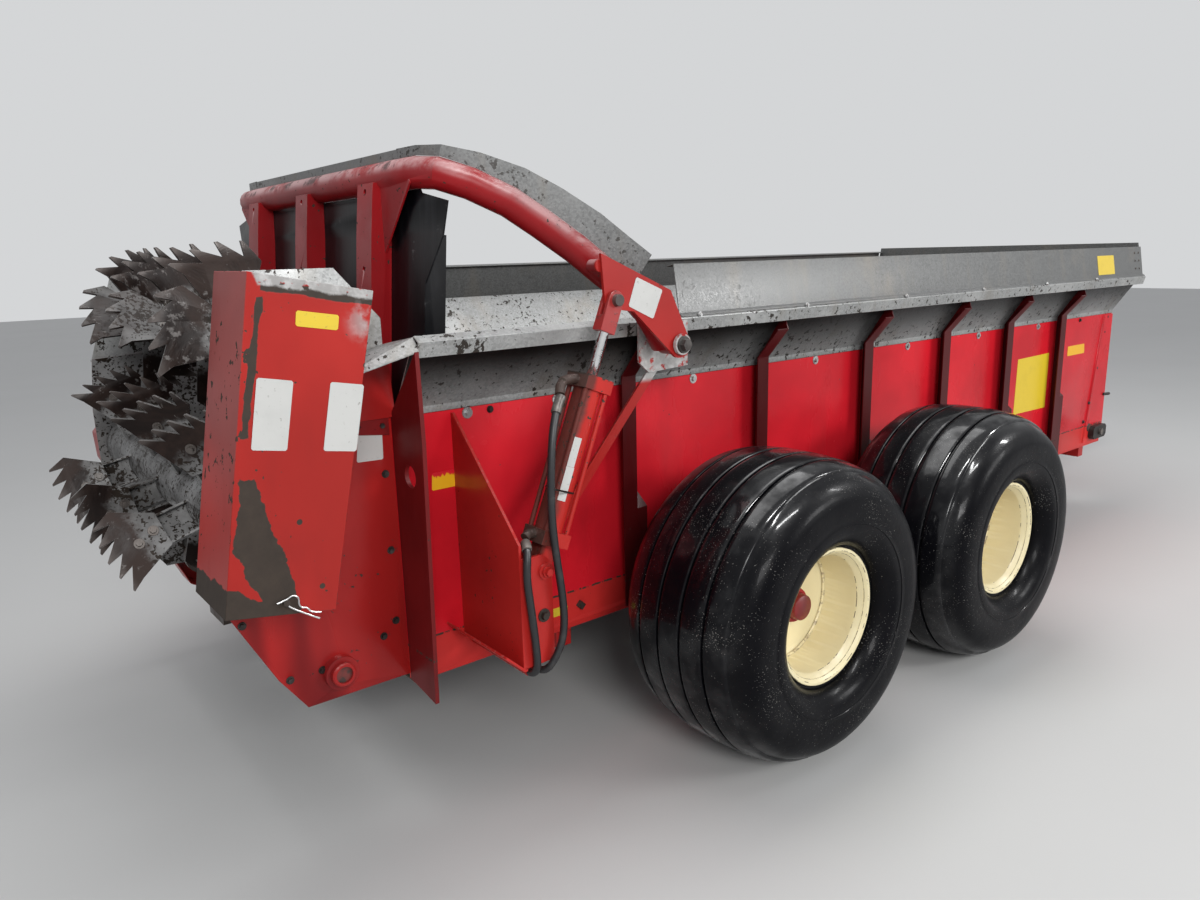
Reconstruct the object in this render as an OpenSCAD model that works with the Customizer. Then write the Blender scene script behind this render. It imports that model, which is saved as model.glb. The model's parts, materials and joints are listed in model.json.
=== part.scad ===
// Towed manure spreader with a floor chain, a lifting endgate and two toothed beaters.
// X runs forward to the hitch, Y to the left, Z up from the ground.
// Side pieces are drawn on the left and mirrored for the right.

/* [Load box] */
// Width between the side walls
box_in_w = 1524; // [1400:4:1640]
// Thickness of the wall sheets
wall_t = 4; // [3:0.5:6]
// Length of the box from the rear flange to the front wall
box_len = 4800; // [4700:20:4900]
// Distance of the rear flange behind the wheel pivot
box_rear = 1660; // [1620:5:1700]
// Lowest edge of the sill above the ground
sill_z = 395; // [380:1:420]
// Weld line between sill and side sheet
sill_top_z = 520; // [500:1:530]
// Underside of the floor sheet
floor_z = 540; // [535:1:545]
// Thickness of the floor sheet
floor_t = 20; // [15:1:22]
// Top of the red side sheet, where the flared sheet starts
seam_z = 1215; // [1190:1:1240]
// Crease where the flared sheet meets the top rail
rail_z = 1430; // [1415:1:1450]
// Half width of the box over the top rail
rail_half = 934; // [925:1:945]
// Height of the side board above the rail
board_h = 160; // [120:1:200]
// Thickness of the galvanised sheets
zinc_t = 4; // [3:0.5:5]

/* [Side posts] */
// Depth of the side posts, out from the wall
post_d = 54; // [45:1:60]
// Width of the side posts along the box
post_w = 60; // [50:1:80]
// Plate thickness of the posts
post_t = 5; // [4:0.5:6]

/* [Wheels] */
// Distance between the two axles
axle_gap = 1128; // [1060:2:1160]
// Gap between the walking beams and the tyres
tyre_gap = 25; // [20:1:60]
// Outer diameter of the tyres
tyre_od = 1000; // [980:2:1040]
// Section width of the tyres
tyre_w = 546; // [500:2:550]
// Diameter of the bead seat
bead_d = 410; // [400:1:414]
// Width between the rim flanges
rim_w = 400; // [380:2:406]
// Diameter over the rim flange
rim_flange_d = 447; // [440:1:450]
// Radius of the wheel spindles
spindle_r = 38; // [32:1:42]

/* [Endgate] */
// Height of the gate hinge
hinge_z = 1356; // [1350:1:1362]
// Hinge distance behind the wheel pivot
hinge_back = 840; // [835:1:845]
// Outer radius of the gate tube
gate_tube_r = 44.5; // [38:0.5:48]
// Outer radius of the curved gate sheet about the hinge
gate_r = 772; // [764:1:776]
// Thickness of the gate sheet
gate_t = 5; // [4:0.5:6]
// Radius of the hinge pins
hinge_pin_r = 19; // [16:0.5:22]

/* [Lift cylinders] */
// Outer radius of the barrel
barrel_r = 40; // [36:1:44]
// Side of the square end caps
cap_side = 96; // [92:1:100]
// Radius of the piston rod
rod_r = 16; // [14:0.5:19]
// Length of the barrel between the caps
barrel_len = 412; // [400:2:420]
// Radius of the cylinder pins
cyl_pin_r = 15; // [12:0.5:17]

/* [Beaters] */
// Tip radius of the lower beater
low_tip_r = 335; // [300:1:340]
// Tip radius of the upper beater
up_tip_r = 262; // [235:1:266]
// Radius of the lower beater's drum tube
low_drum_r = 95; // [80:1:110]
// Radius of the upper beater's drum tube
up_drum_r = 70; // [55:1:80]
// Thickness of the toothed paddles
paddle_t = 8; // [6:0.5:10]
// Depth of the teeth on a paddle
tooth_h = 42; // [30:1:48]
// Share of each tooth that is left flat at its tip, none to half
tooth_flat = 0.12; // [0:0.02:0.4]
// Greatest lean of the paddles from square to the shaft, in degrees
paddle_lean = 45; // [35:1:48]

/* [Floor chain] */
// Radius of the sprockets at the chain's middle line
sprocket_r = 63; // [62:1:66]
// Distance between the chain bars
bar_pitch = 300; // [240:5:360]
// Height of the chain bars
bar_h = 28; // [22:1:30]
// Width of the chain bars along the box
bar_w = 40; // [30:1:50]

/* [Tongue and jack] */
// Height of the hitch hole's middle
hitch_z = 470; // [430:2:520]
// Distance from the wheel pivot to the hitch hole
hitch_x = 4790; // [4700:10:4900]
// Side of the square tongue tubes
tongue_s = 100; // [90:2:110]
// Radius of the hitch pin hole
hitch_r = 16.5; // [16:0.5:20]
// Radius of the bore that takes the tractor's drive stub
pto_r = 17.5; // [17:0.5:22.5]
// Radius of the drive shaft under the floor
drive_r = 22; // [18:1:26]
// Side of the jack's outer tube
jack_s = 70; // [60:1:80]
// Radius of the jack foot
jack_foot_r = 95; // [80:1:110]

/* [Hidden] */
$fn = 48;

// Paints, one for each finish
red = [0.66, 0.05, 0.06];
zinc = [0.56, 0.58, 0.58];
dark_steel = [0.17, 0.14, 0.13];
bare_steel = [0.45, 0.44, 0.43];
cream = [0.90, 0.86, 0.70];
black = [0.03, 0.03, 0.035];
chrome = [0.80, 0.81, 0.82];

// Clearances
seat_gap = 0.3;
pin_gap = 0.05;

// Box levels and faces
inner_y = box_in_w / 2;
wall_y = inner_y + wall_t;
hinge_x = -hinge_back;
box_x0 = -box_rear;
box_x1 = box_x0 + box_len;
floor_top = floor_z + floor_t;
axle_z = tyre_od / 2;
flare_out = rail_half - 24;
lip_h = 40;
board_top_y = rail_half - 48;
board_x0 = hinge_x + 140;
gate_w = box_in_w - 34;
wheel_y = beam_y1() + tyre_gap + tyre_w / 2;

// Under side of the flared sheet, rail and lip, from the wall outwards
flare_foot = [wall_y + zinc_t + seat_gap, seam_z + 6];
flare_crest = [flare_out, rail_z];
rail_tip = [rail_half - zinc_t, rail_z - 12];
rail_up = [12, rail_half - zinc_t - flare_out] / norm([12, rail_half - zinc_t - flare_out]);
flare_line = [flare_foot - [0, 20], flare_foot, flare_crest, rail_tip, rail_tip - [10, lip_h]];

// Rear end
low_x = -2040;
low_z = 960;
up_x = -1965;
up_z = 1430;
drum_half = inner_y - 22;
chain_shaft_x = -1884;
chain_shaft_z = 510;
front_shaft_x = box_x1 - 190;

// Cylinder points in the side view
eye_x = hinge_x - 262;
eye_z = hinge_z + 147;
base_x = eye_x - 295;
base_z = eye_z - 731;
cyl_y = rail_half + 123;
cyl_angle = atan2(eye_x - base_x, eye_z - base_z);
cyl_dist = sqrt(pow(eye_x - base_x, 2) + pow(eye_z - base_z, 2));
arm_y = rail_half + 58;
arm_plate_t = 10;
bracket_y = rail_half + 1;
bracket_t = 9;

// Foremost and rearmost points set the middle of the machine
front_tip_x = hitch_x + 45;
rear_tip_x = low_x - low_reach();
mid_x = (front_tip_x + rear_tip_x) / 2;

// Drive shaft under the floor
drive_y = inner_y - 122;
drive_z = sill_z - 148;

// Side post places along the box, from the rear
post_x = [-840, -165, 520, 1150, 1765, 2370];

// Cross members under the box, and those that carry the drive shaft
cross_x = [box_x0 + 560, box_x1 - 1890, box_x1 - 1040, box_x1 - 240];
hanger_x = [cross_x[0], cross_x[1], cross_x[3]];

// Pivot of the walking beams
pivot_z = 330;
pivot_r = 38;

// Pipe ends that the hoses run to
pipe_x = [base_x - 47, base_x - 17];
pipe_z = sill_z + 73;
hose_end_y = cyl_y + 3;
hose_r = 11;

// A strip of even thickness along a bent line: the line's points, then its thickness
function unit(v) = v / norm(v);
function left_of(v) = [-v[1], v[0]];
function corner_shift(p, i) =
    let (n = len(p) - 1)
    i == 0 ? left_of(unit(p[1] - p[0])) :
    i == n ? left_of(unit(p[n] - p[n - 1])) :
    let (a = left_of(unit(p[i] - p[i - 1])), b = left_of(unit(p[i + 1] - p[i])), m = unit(a + b))
    m / (m * a);
function strip(p, t) = concat(p, [for (i = [len(p) - 1:-1:0]) p[i] + t * corner_shift(p, i)]);

// Points of an arc about a centre
function arc(cx, cy, r, a0, a1, steps) =
    [for (i = [0:steps]) let (a = a0 + (a1 - a0) * i / steps) [cx + r * cos(a), cy + r * sin(a)]];

// A side-view outline drawn out across the machine from y0 to y1
module across(y0, y1) translate([0, y1, 0]) rotate([90, 0, 0]) linear_extrude(y1 - y0) children();

// A rear-view outline drawn out along the machine from x0 to x1
module along(x0, x1) translate([x0, 0, 0]) rotate([90, 0, 90]) linear_extrude(x1 - x0) children();

// A box from its low corner to its high corner
module block(a, b) translate(a) cube(b - a);

// A round bar along Y
module bar_y(x, z, r, y0, y1) translate([x, y1, z]) rotate([90, 0, 0]) cylinder(r = r, h = y1 - y0);

// A round bar along X
module bar_x(y, z, r, x0, x1) translate([x0, y, z]) rotate([0, 90, 0]) cylinder(r = r, h = x1 - x0);

// Left is as drawn, right is its mirror image
module on_side(side) if (side == "left") children(); else mirror([0, 1, 0]) children();

// Everything stands with the middle of its length over the origin
module placed() translate([-mid_x, 0, 0]) children();

// Load box

module floor_sheet() color(bare_steel)
    block([box_x0 + 5, -inner_y + seat_gap, floor_z],
        [front_shaft_x - sprocket_r - 15, inner_y - seat_gap, floor_top]);

module side_wall(side) color(red) on_side(side) {
    difference() {
        union() {
            along(box_x0, box_x1) polygon(strip(
                [[wall_y - 70, sill_z], [wall_y, sill_z], [wall_y, seam_z]], wall_t));
            for (x = post_x) side_post(x);
            rear_flange();
            front_corner_plate();
        }
        bar_y(front_shaft_x, chain_shaft_z, 26, inner_y - 20, wall_y + 20);
    }
}

// A channel that opens to the rear and bends out along the flare to the rail
module side_post(x) {
    outer_y = wall_y + post_d;
    kink_z = seam_z + 20;
    foot = flare_foot + [seat_gap, 0];
    slope = flare_crest - flare_foot;
    top = foot + slope * 0.72 + [42, -28];
    post_bottom = sill_z + 35;
    along(x + post_w / 2 - post_t, x + post_w / 2) polygon([
        [wall_y, post_bottom], [outer_y, post_bottom], [outer_y, kink_z], top,
        foot + slope * 0.86, foot, foot - [0, 22], [wall_y, seam_z - 18]]);
    along(x - post_w / 2, x + post_w / 2)
        polygon(strip([[outer_y, post_bottom], [outer_y, kink_z], top], post_t));
    along(x + post_w / 2 - 1, x + post_w / 2 + 44) polygon([
        [wall_y, sill_z + 20], [outer_y, sill_z + 20], [outer_y, sill_z + 380], [wall_y, sill_z + 425]]);
}

// The plate across the rear end of the wall, wider towards the bottom of the flare
module rear_flange() {
    difference() {
        along(box_x0 - 12, box_x0) polygon([
            [wall_y - wall_t, sill_z + 20], [wall_y + 150, sill_z - 5], [wall_y + 178, seam_z - 60],
            [wall_y + 172, rail_z - 34], [wall_y + 1, seam_z - 6], [wall_y - wall_t, seam_z - 6]]);
        bar_x(wall_y + 95, 1050, 32, box_x0 - 13, box_x0 + 1);
    }
}

// Stiffener at the front lower corner, with the block that carries the front shaft
module front_corner_plate() {
    across(wall_y, wall_y + 8) polygon([
        [box_x1 - 250, sill_top_z - 100], [box_x1, sill_top_z - 60], [box_x1, seam_z - 20],
        [box_x1 - 110, seam_z - 20]]);
}

module flare(side) color(zinc) on_side(side)
    along(box_x0 + 2, box_x1) polygon(strip(flare_line, zinc_t));

module side_board(side) color(zinc) on_side(side)
    along(board_x0, box_x1) polygon(strip([
        rail_tip + 0.2 * (flare_crest - rail_tip) + (zinc_t + seat_gap) * rail_up,
        flare_crest + (zinc_t + seat_gap) * rail_up,
        [board_top_y, rail_z + board_h], [board_top_y - 28, rail_z + board_h - 6]], -zinc_t));

module front_wall() color(red)
    difference() {
        block([box_x1, -wall_y, sill_z + 20], [box_x1 + 6, wall_y, seam_z]);
        bar_x(0, 480, 40, box_x1 - 1, box_x1 + 7);
    }

module front_board() color(zinc)
    along(box_x1 + seat_gap, box_x1 + 6) polygon([
        [-wall_y, seam_z + seat_gap], [wall_y, seam_z + seat_gap], [flare_out, rail_z],
        [board_top_y - 12, rail_z + board_h + 28], [-board_top_y + 12, rail_z + board_h + 28],
        [-flare_out, rail_z]]);

// Floor chain

// One bar across the box at a place along the chain's loop
module chain_bar(x, z, up) {
    low = up ? z : z - bar_h;
    block([x - bar_w / 2, -inner_y + 12, low], [x + bar_w / 2, inner_y - 12, low + bar_h]);
}

module floor_chain() color(dark_steel) {
    top_z = chain_shaft_z + sprocket_r;
    low_run_z = chain_shaft_z - sprocket_r;
    link_h = 20;
    run = front_shaft_x - chain_shaft_x;
    bars = floor(run / bar_pitch);
    for (y = [-560, -190, 190, 560]) {
        difference() {
            across(y - 11, y + 11) chain_loop(link_h / 2);
            across(y - 12, y + 12) chain_loop(-link_h / 2);
        }
    }
    for (i = [0:bars]) {
        chain_bar(chain_shaft_x + (i + 0.3) * run / (bars + 0.6), top_z - link_h / 2 + 2, true);
        chain_bar(chain_shaft_x + (i + 0.3) * run / (bars + 0.6), low_run_z + link_h / 2 - 2, false);
    }
}

// The chain's outline, grown or shrunk from its middle line
module chain_loop(grow) {
    r = sprocket_r + grow;
    polygon(concat(
        arc(chain_shaft_x, chain_shaft_z, r, 90, 270, 12),
        arc(front_shaft_x, chain_shaft_z, r, -90, 90, 12)));
}

module floor_chain_shafts() color(bare_steel) {
    for (x = [chain_shaft_x, front_shaft_x]) {
        reach = x < 0 ? wall_y + 30 : wall_y + 12;
        bar_y(x, chain_shaft_z, 25, -reach, reach);
        for (y = [-560, -190, 190, 560])
            bar_y(x, chain_shaft_z, sprocket_r - 11, y - 10, y + 10);
    }
}

// Rear sheets, wings and guards

// Lower outline of the rear sheet in the side view
module rear_sheet_outline() polygon([
    [box_x0 - 12, sill_z + 35], [box_x0 - 12, seam_z], [up_x, seam_z + 85], [up_x - 173, up_z - 140],
    [low_x - 120, low_z + 140], [low_x - 117, low_z - 216], [low_x - 12, low_z - 423],
    [chain_shaft_x - 96, chain_shaft_z - 78]]);

module rear_sheet(side) color(red) on_side(side) {
    difference() {
        across(inner_y, wall_y) rear_sheet_outline();
        bar_y(chain_shaft_x, chain_shaft_z, 26, inner_y - 1, wall_y + 1);
        bar_y(low_x, low_z, 31, inner_y - 1, wall_y + 1);
    }
    for (c = [[chain_shaft_x, chain_shaft_z, 25, 48, 24], [low_x, low_z, 25, 80, 40]])
        difference() {
            bar_y(c[0], c[1], c[3], wall_y, wall_y + c[4]);
            bar_y(c[0], c[1], c[2] + pin_gap, wall_y - 1, wall_y + c[4] + 1);
        }
}

module wing(side) color(zinc) on_side(side) {
    difference() {
        union() {
            across(wall_y + seat_gap, wall_y + seat_gap + zinc_t) polygon([
                [box_x0 - 20, seam_z - 60], [box_x0 - 20, rail_z - 12], [box_x0 - 20, rail_z + 48],
                [up_x + 165, rail_z + 184], [up_x - 65, rail_z + 184], [up_x - 173, up_z - 140],
                [up_x - 173, seam_z]]);
            across(wall_y + seat_gap, wall_y + 34) polygon([
                [up_x - 173, up_z - 150], [up_x - 85, up_z - 146], [up_x - 85, up_z - 141],
                [up_x - 173, up_z - 145]]);
        }
        bar_y(up_x, up_z, 31, wall_y - 1, wall_y + 20);
    }
    difference() {
        bar_y(up_x, up_z, 70, wall_y + seat_gap + zinc_t, wall_y + 38);
        bar_y(up_x, up_z, 25 + pin_gap, wall_y - 1, wall_y + 40);
    }
}

// A closed outline drawn in by an even distance
function inset(p, t) =
    let (n = len(p))
    [for (i = [0:n - 1])
        let (a = left_of(unit(p[i] - p[(i + n - 1) % n])), b = left_of(unit(p[(i + 1) % n] - p[i])),
             m = unit(a + b))
        p[i] - t * m / (m * a)];

// A sheet box over a chain, open towards the machine
module chain_box(outline, y0, y1, t)
    difference() {
        across(y0, y1) polygon(outline);
        across(y0 - 1, y1 - t) polygon(inset(outline, t));
    }

// Over the chain between the two beater shafts, right side only
module chain_guard() color(red) on_side("right")
    chain_box([[up_x - 130, up_z + 185], [up_x + 160, up_z + 130], [low_x + 70, low_z - 165],
        [low_x - 188, low_z - 120]], wall_y + zinc_t + 2 * seat_gap, wall_y + 245, 4);

// Over the chain that drives the lower beater, left side only
module drive_case() color(red)
    chain_box([[low_x - 110, low_z - 60], [low_x - 115, low_z + 40], [low_x - 50, low_z + 115],
        [low_x + 50, low_z + 115], [low_x + 120, low_z + 50], [box_x0 - 30, sill_z + 45],
        [box_x0 - 30, sill_z - 95], [box_x0 - 190, sill_z - 95], [box_x0 - 240, sill_z - 65]],
        wall_y + seat_gap, wall_y + 120, 4);

// Brackets that carry the gate hinge and the cylinder's lower pin

module lift_bracket(side) color(red) on_side(side) {
    plate_y = [cyl_y - 36, cyl_y + 26];
    outer_y = cyl_y + 36;
    left_x = base_x - 78;
    right_x = base_x + 22;
    // hinge plate and pin
    difference() {
        across(bracket_y, bracket_y + bracket_t) polygon([
            [hinge_x - 22, hinge_z - 96], [hinge_x + 150, hinge_z - 88], [hinge_x + 150, rail_z - 14],
            [hinge_x - 62, rail_z - 14], [hinge_x - 62, hinge_z - 60]]);
        bar_y(hinge_x, hinge_z, hinge_pin_r - 1, bracket_y - 1, bracket_y + bracket_t + 1);
    }
    bar_y(hinge_x, hinge_z, hinge_pin_r, bracket_y, cyl_y + 13);
    bar_y(hinge_x, hinge_z, 32, cyl_y + 9, cyl_y + 21);
    // tapered gusset, and the two plates about the lower pin
    along(left_x - 8, left_x) polygon([
        [wall_y, seam_z - 24], [wall_y + 12, seam_z - 24], [outer_y, base_z + 92], [outer_y, sill_z + 105],
        [wall_y, sill_z + 105]]);
    for (y = plate_y)
        difference() {
            across(y, y + 10) polygon([
                [left_x - 1, sill_z + 105], [right_x, sill_z + 105], [right_x, base_z + 22],
                [base_x - 8, base_z + 50], [left_x - 1, base_z + 50]]);
            bar_y(base_x, base_z, cyl_pin_r + pin_gap, y - 1, y + 11);
        }
    bar_y(base_x, base_z, cyl_pin_r, plate_y[0] - 4, outer_y + 12);
    bar_y(base_x, base_z, 24, outer_y - 1, outer_y + 8);
    // folded foot under the gusset
    across(wall_y, outer_y) polygon(strip([
        [left_x - 62, sill_z + 160], [left_x - 2, sill_z + 103], [left_x + 5, sill_z + 103]], -7));
    // pipe ends for the hoses, on a bridge below the plates
    for (x = pipe_x)
        bar_y(x, pipe_z, hose_r + 1, wall_y, hose_end_y - seat_gap);
    block([pipe_x[0] - 8, wall_y + 60, pipe_z - 6], [pipe_x[1] + 8, wall_y + 80, sill_z + 106]);
    // angle brace from the inner plate up to the hinge plate
    brace_line(bracket_y - 8, bracket_y + 1, 44);
    brace_line(bracket_y - 38, bracket_y - 2, 8);
    block([base_x - 6, bracket_y - 8, base_z - 108], [right_x, plate_y[0] + 1, base_z - 78]);
}

// One flange of the brace in the side view, with its own width
module brace_line(y0, y1, wide)
    across(y0, y1) polygon([
        [base_x + 26 - wide, base_z - 112], [base_x + 26, base_z - 112], [hinge_x + 38, hinge_z - 76],
        [hinge_x + 38 - wide, hinge_z - 76]]);

// Running gear

module undercarriage() color(red) {
    for (x = cross_x)
        block([x - 30, -wall_y + 5, sill_z - 61], [x + 30, wall_y - 5, sill_z - seat_gap]);
    for (x = [-90, 90])
        block([x - 12, -wall_y + 5, sill_z - 118], [x + 12, wall_y - 5, sill_z - seat_gap]);
    bar_y(0, pivot_z, pivot_r + 12, -beam_y0() + 20, beam_y0() - 20);
    for (m = [0, 1]) mirror([0, m, 0])
        block([-102, wall_y - 76, sill_z - 118], [102, wall_y - 44, sill_z - 61]);
    for (x = hanger_x)
        difference() {
            block([x - 14, drive_y - 36, drive_z - 34], [x + 14, drive_y + 36, sill_z - 60]);
            bar_x(drive_y, drive_z, drive_r + pin_gap, x - 15, x + 15);
        }
    bar_y(0, pivot_z, pivot_r, -beam_y1() - 14, beam_y1() + 14);
}

function beam_y0() = wall_y + post_d + 16;
function beam_y1() = beam_y0() + 96;

module walking_beam(side) color(red) on_side(side) {
    half = axle_gap / 2;
    difference() {
        across(beam_y0(), beam_y1()) polygon([
            [-half - 75, axle_z - 75], [-half + 60, axle_z - 75], [-130, 255], [130, 255],
            [half - 60, axle_z - 75], [half + 75, axle_z - 75], [half + 75, axle_z + 75],
            [half - 90, axle_z + 75], [130, 405], [-130, 405], [-half + 90, axle_z + 75],
            [-half - 75, axle_z + 75]]);
        bar_y(0, pivot_z, pivot_r + pin_gap, beam_y0() - 1, beam_y1() + 1);
    }
    for (x = [-half, half])
        bar_y(x, axle_z, spindle_r, beam_y1() - 1, wheel_y + 20);
}

module tyre(x, side) color(black) on_side(side) {
    crown = tyre_od / 2;
    half = tyre_w / 2;
    bead = rim_w / 2;
    translate([x, wheel_y, axle_z]) rotate([90, 0, 0]) rotate_extrude($fn = 72)
        polygon([
            [bead_d / 2, -bead], [rim_flange_d / 2 + 3, -bead], [crown * 0.50, -half * 0.88],
            [crown * 0.66, -half], [crown * 0.80, -half * 0.985], [crown * 0.92, -half * 0.86],
            [crown * 0.975, -half * 0.66], [crown, -half * 0.36], [crown, half * 0.36],
            [crown * 0.975, half * 0.66], [crown * 0.92, half * 0.86],
            [crown * 0.80, half * 0.985], [crown * 0.66, half], [crown * 0.50, half * 0.88],
            [rim_flange_d / 2 + 3, bead], [bead_d / 2, bead]]);
}

// Profile of the rim, disc and hub: radius, then distance outwards from the tyre's middle
module rim(x, side) color(cream) on_side(side) {
    seat = bead_d / 2 - seat_gap;
    edge = rim_w / 2 + seat_gap;
    lip_r = rim_flange_d / 2;
    hub_r = 62;
    translate([x, wheel_y, axle_z]) rotate([90, 0, 0]) mirror([0, 0, 1])
        rotate_extrude($fn = 72) polygon([
            [spindle_r + pin_gap, -110], [hub_r + 14, -110], [hub_r + 14, 18], [120, 18],
            [seat - 10, 4], [seat - 10, -edge], [seat - 4, -edge - 9], [lip_r, -edge - 9],
            [lip_r, -edge], [seat, -edge], [seat, edge], [lip_r, edge], [lip_r, edge + 10],
            [lip_r - 10, edge + 10], [seat - 12, edge - 20], [seat - 10, 40], [130, 34],
            [hub_r, 34], [hub_r - 4, 78], [44, 84], [42, 112], [0, 116], [0, 30],
            [spindle_r + pin_gap, 30]]);
}

// Tongue, hitch and jack

module tongue() color(red) {
    half_s = tongue_s / 2;
    low_z0 = sill_z - 61 - seat_gap - tongue_s;
    leg = tongue_s * 0.8;
    for (m = [0, 1]) mirror([0, m, 0]) {
        hull() {
            block([2050, 500, low_z0], [2060, 500 + leg, low_z0 + tongue_s]);
            block([box_x1, 250, low_z0], [box_x1 + 10, 250 + leg, low_z0 + tongue_s]);
        }
        hull() {
            block([box_x1, 250, low_z0], [box_x1 + 10, 250 + leg, low_z0 + tongue_s]);
            block([hitch_x - 560, 5, hitch_z - half_s], [hitch_x - 540, 59, hitch_z + half_s]);
        }
    }
    difference() {
        block([hitch_x - 620, -60, hitch_z - half_s], [hitch_x - 90, 60, hitch_z + half_s]);
        block([hitch_x - 240, -50, hitch_z - half_s + 8], [hitch_x - 80, 50, hitch_z + half_s - 8]);
    }
}

module hitch_clevis() color(dark_steel)
    difference() {
        union() {
            for (z = [hitch_z - 42, hitch_z + 20])
                translate([0, 0, z]) linear_extrude(22) union() {
                    translate([hitch_x, 0]) circle(r = 45);
                    translate([hitch_x - 180, -45]) square([180, 90]);
                }
            block([hitch_x - 180, -45, hitch_z - 42], [hitch_x - 100, 45, hitch_z + 42]);
        }
        translate([hitch_x, 0, hitch_z - 50]) cylinder(r = hitch_r, h = 100);
    }

module jack_tube() color(red) {
    jack_x = hitch_x - 420;
    jack_y = 60 + jack_s / 2 + 20;
    difference() {
        block([jack_x - jack_s / 2, jack_y - jack_s / 2, 330], [jack_x + jack_s / 2, jack_y + jack_s / 2, 930]);
        block([jack_x - jack_s / 2 + 5, jack_y - jack_s / 2 + 5, 329],
              [jack_x + jack_s / 2 - 5, jack_y + jack_s / 2 - 5, 900]);
    }
    block([jack_x - 45, 60 + seat_gap, hitch_z - 45], [jack_x + 45, jack_y - jack_s / 2, hitch_z + 45]);
    bar_x(jack_y, 900, 12, jack_x + jack_s / 2, jack_x + jack_s / 2 + 60);
    block([jack_x + jack_s / 2 + 48, jack_y - 8, 890], [jack_x + jack_s / 2 + 60, jack_y + 150, 910]);
    bar_x(jack_y + 142, 900, 14, jack_x + jack_s / 2 + 60, jack_x + jack_s / 2 + 150);
}

module jack_leg() color(zinc) {
    jack_x = hitch_x - 420;
    jack_y = 60 + jack_s / 2 + 20;
    inner = jack_s / 2 - 5 - seat_gap;
    block([jack_x - inner, jack_y - inner, 8], [jack_x + inner, jack_y + inner, 600]);
    translate([jack_x, jack_y, 0]) cylinder(r = jack_foot_r, h = 10);
}

// Drive from the hitch to the left rear chain case
module driveline() color(dark_steel) {
    bar_x(0, hitch_z + 140, 32, box_x1 + 170, hitch_x - 300);
    difference() {
        bar_x(0, hitch_z + 140, 52, hitch_x - 300, hitch_x - 130);
        bar_x(0, hitch_z + 140, pto_r, hitch_x - 205, hitch_x - 129);
    }
    block([box_x1 + 6 + seat_gap, -110, hitch_z + 50], [box_x1 + 170, 110, hitch_z + 250]);
    bar_x(drive_y, drive_z, drive_r, box_x0 + 40, box_x1 - 60);
    block([box_x0 - 180, drive_y - 60, drive_z - 60], [box_x0 + 40, wall_y, sill_z - 10]);
    bar_y(box_x0 - 120, sill_z - 42, 22, wall_y - 66, wall_y + 80);
}

// Endgate

// Middle line of the left half of the gate tube: x and z from the hinge, and y in from the arm
tube_table = [
    [-670, arm_y, 510], [-670, 392, 510], [-664, 292, 510], [-638, 227, 504], [-560, 186, 476],
    [-460, 146, 426], [-380, 108, 366], [-290, 62, 292], [-220, 24, 224], [-140, 2, 164],
    [-75, 0, 106], [-30, 0, 49], [0, 0, 0]
];
gate_line = [for (t = tube_table) [hinge_x + t[0], arm_y - t[1], hinge_z + t[2]]];

// Rings of a round tube about a line of points, then the tube with flat ends
function along_dir(p, i) = unit(p[min(i + 1, len(p) - 1)] - p[max(i - 1, 0)]);
function ring(p, i, r, sides) =
    let (d = along_dir(p, i), u = unit(cross(d, [0.3, 0.2, 1])), v = cross(d, u))
    [for (k = [0:sides - 1]) p[i] + r * cos(360 * k / sides) * u + r * sin(360 * k / sides) * v];
module swept_tube(p, r, sides) {
    n = len(p);
    points = [for (i = [0:n - 1]) each ring(p, i, r, sides)];
    walls = [for (i = [0:n - 2]) for (k = [0:sides - 1])
        let (j = (k + 1) % sides, a = i * sides, b = (i + 1) * sides)
        each [[a + k, b + k, a + j], [a + j, b + k, b + j]]];
    low_end = [for (k = [0:sides - 1]) k];
    high_end = [for (k = [sides - 1:-1:0]) (n - 1) * sides + k];
    polyhedron(points, concat(walls, [low_end], [high_end]));
}

whole_line = concat(
    [for (i = [len(gate_line) - 1:-1:1]) [gate_line[i][0], -gate_line[i][1], gate_line[i][2]]],
    [for (i = [1:len(gate_line) - 1]) gate_line[i]]);

module gate_frame() color(red) {
    difference() {
        swept_tube(whole_line, gate_tube_r, 16);
        for (m = [-1, 1]) bar_y(hinge_x, hinge_z, hinge_pin_r + pin_gap, m * arm_y - 60, m * arm_y + 60);
    }
    for (m = [0, 1]) mirror([0, m, 0]) arm_plate();
    for (y = [-485, 17, 505]) gate_post(y);
    for (m = [0, 1]) mirror([0, m, 0])
        along(tube_x - 30, tube_x - 24) polygon([
            [525, tube_z - 14], [718, tube_z - 20], [718, tube_z - 30], [528, tube_z - 226]]);
}

// Middle of the straight part of the gate tube, and the rear face of the gate sheet from the top down
tube_x = gate_line[0][0];
tube_z = gate_line[0][2];
sheet_line = concat(
    [[hinge_x - 668, tube_z - gate_tube_r - seat_gap], [hinge_x - 674, hinge_z + 344],
     [hinge_x - 694, hinge_z + 103]],
    arc(hinge_x, hinge_z, gate_r, 200, 251, 12));

// Plate on the outside of the arm, which carries the cylinder's rod end
module arm_plate() {
    plate_y = cyl_y - arm_plate_t / 2;
    difference() {
        union() {
            across(plate_y, plate_y + arm_plate_t) polygon(concat(
                [[hinge_x - 304, hinge_z + 278], [hinge_x - 37, hinge_z + 165]],
                arc(hinge_x, hinge_z, 42, 20, -120, 8),
                [[hinge_x - 185, hinge_z + 110]], arc(eye_x, eye_z, 32, -60, -190, 8)));
            for (c = [[-300, 244], [-120, 156]])
                bar_y(hinge_x + c[0], hinge_z + c[1], 18, arm_y + 20, plate_y + 1);
            bar_y(hinge_x, hinge_z, 34, arm_y, plate_y + 1);
        }
        bar_y(hinge_x, hinge_z, hinge_pin_r + pin_gap, arm_y - 50, plate_y + 20);
    }
}

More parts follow.
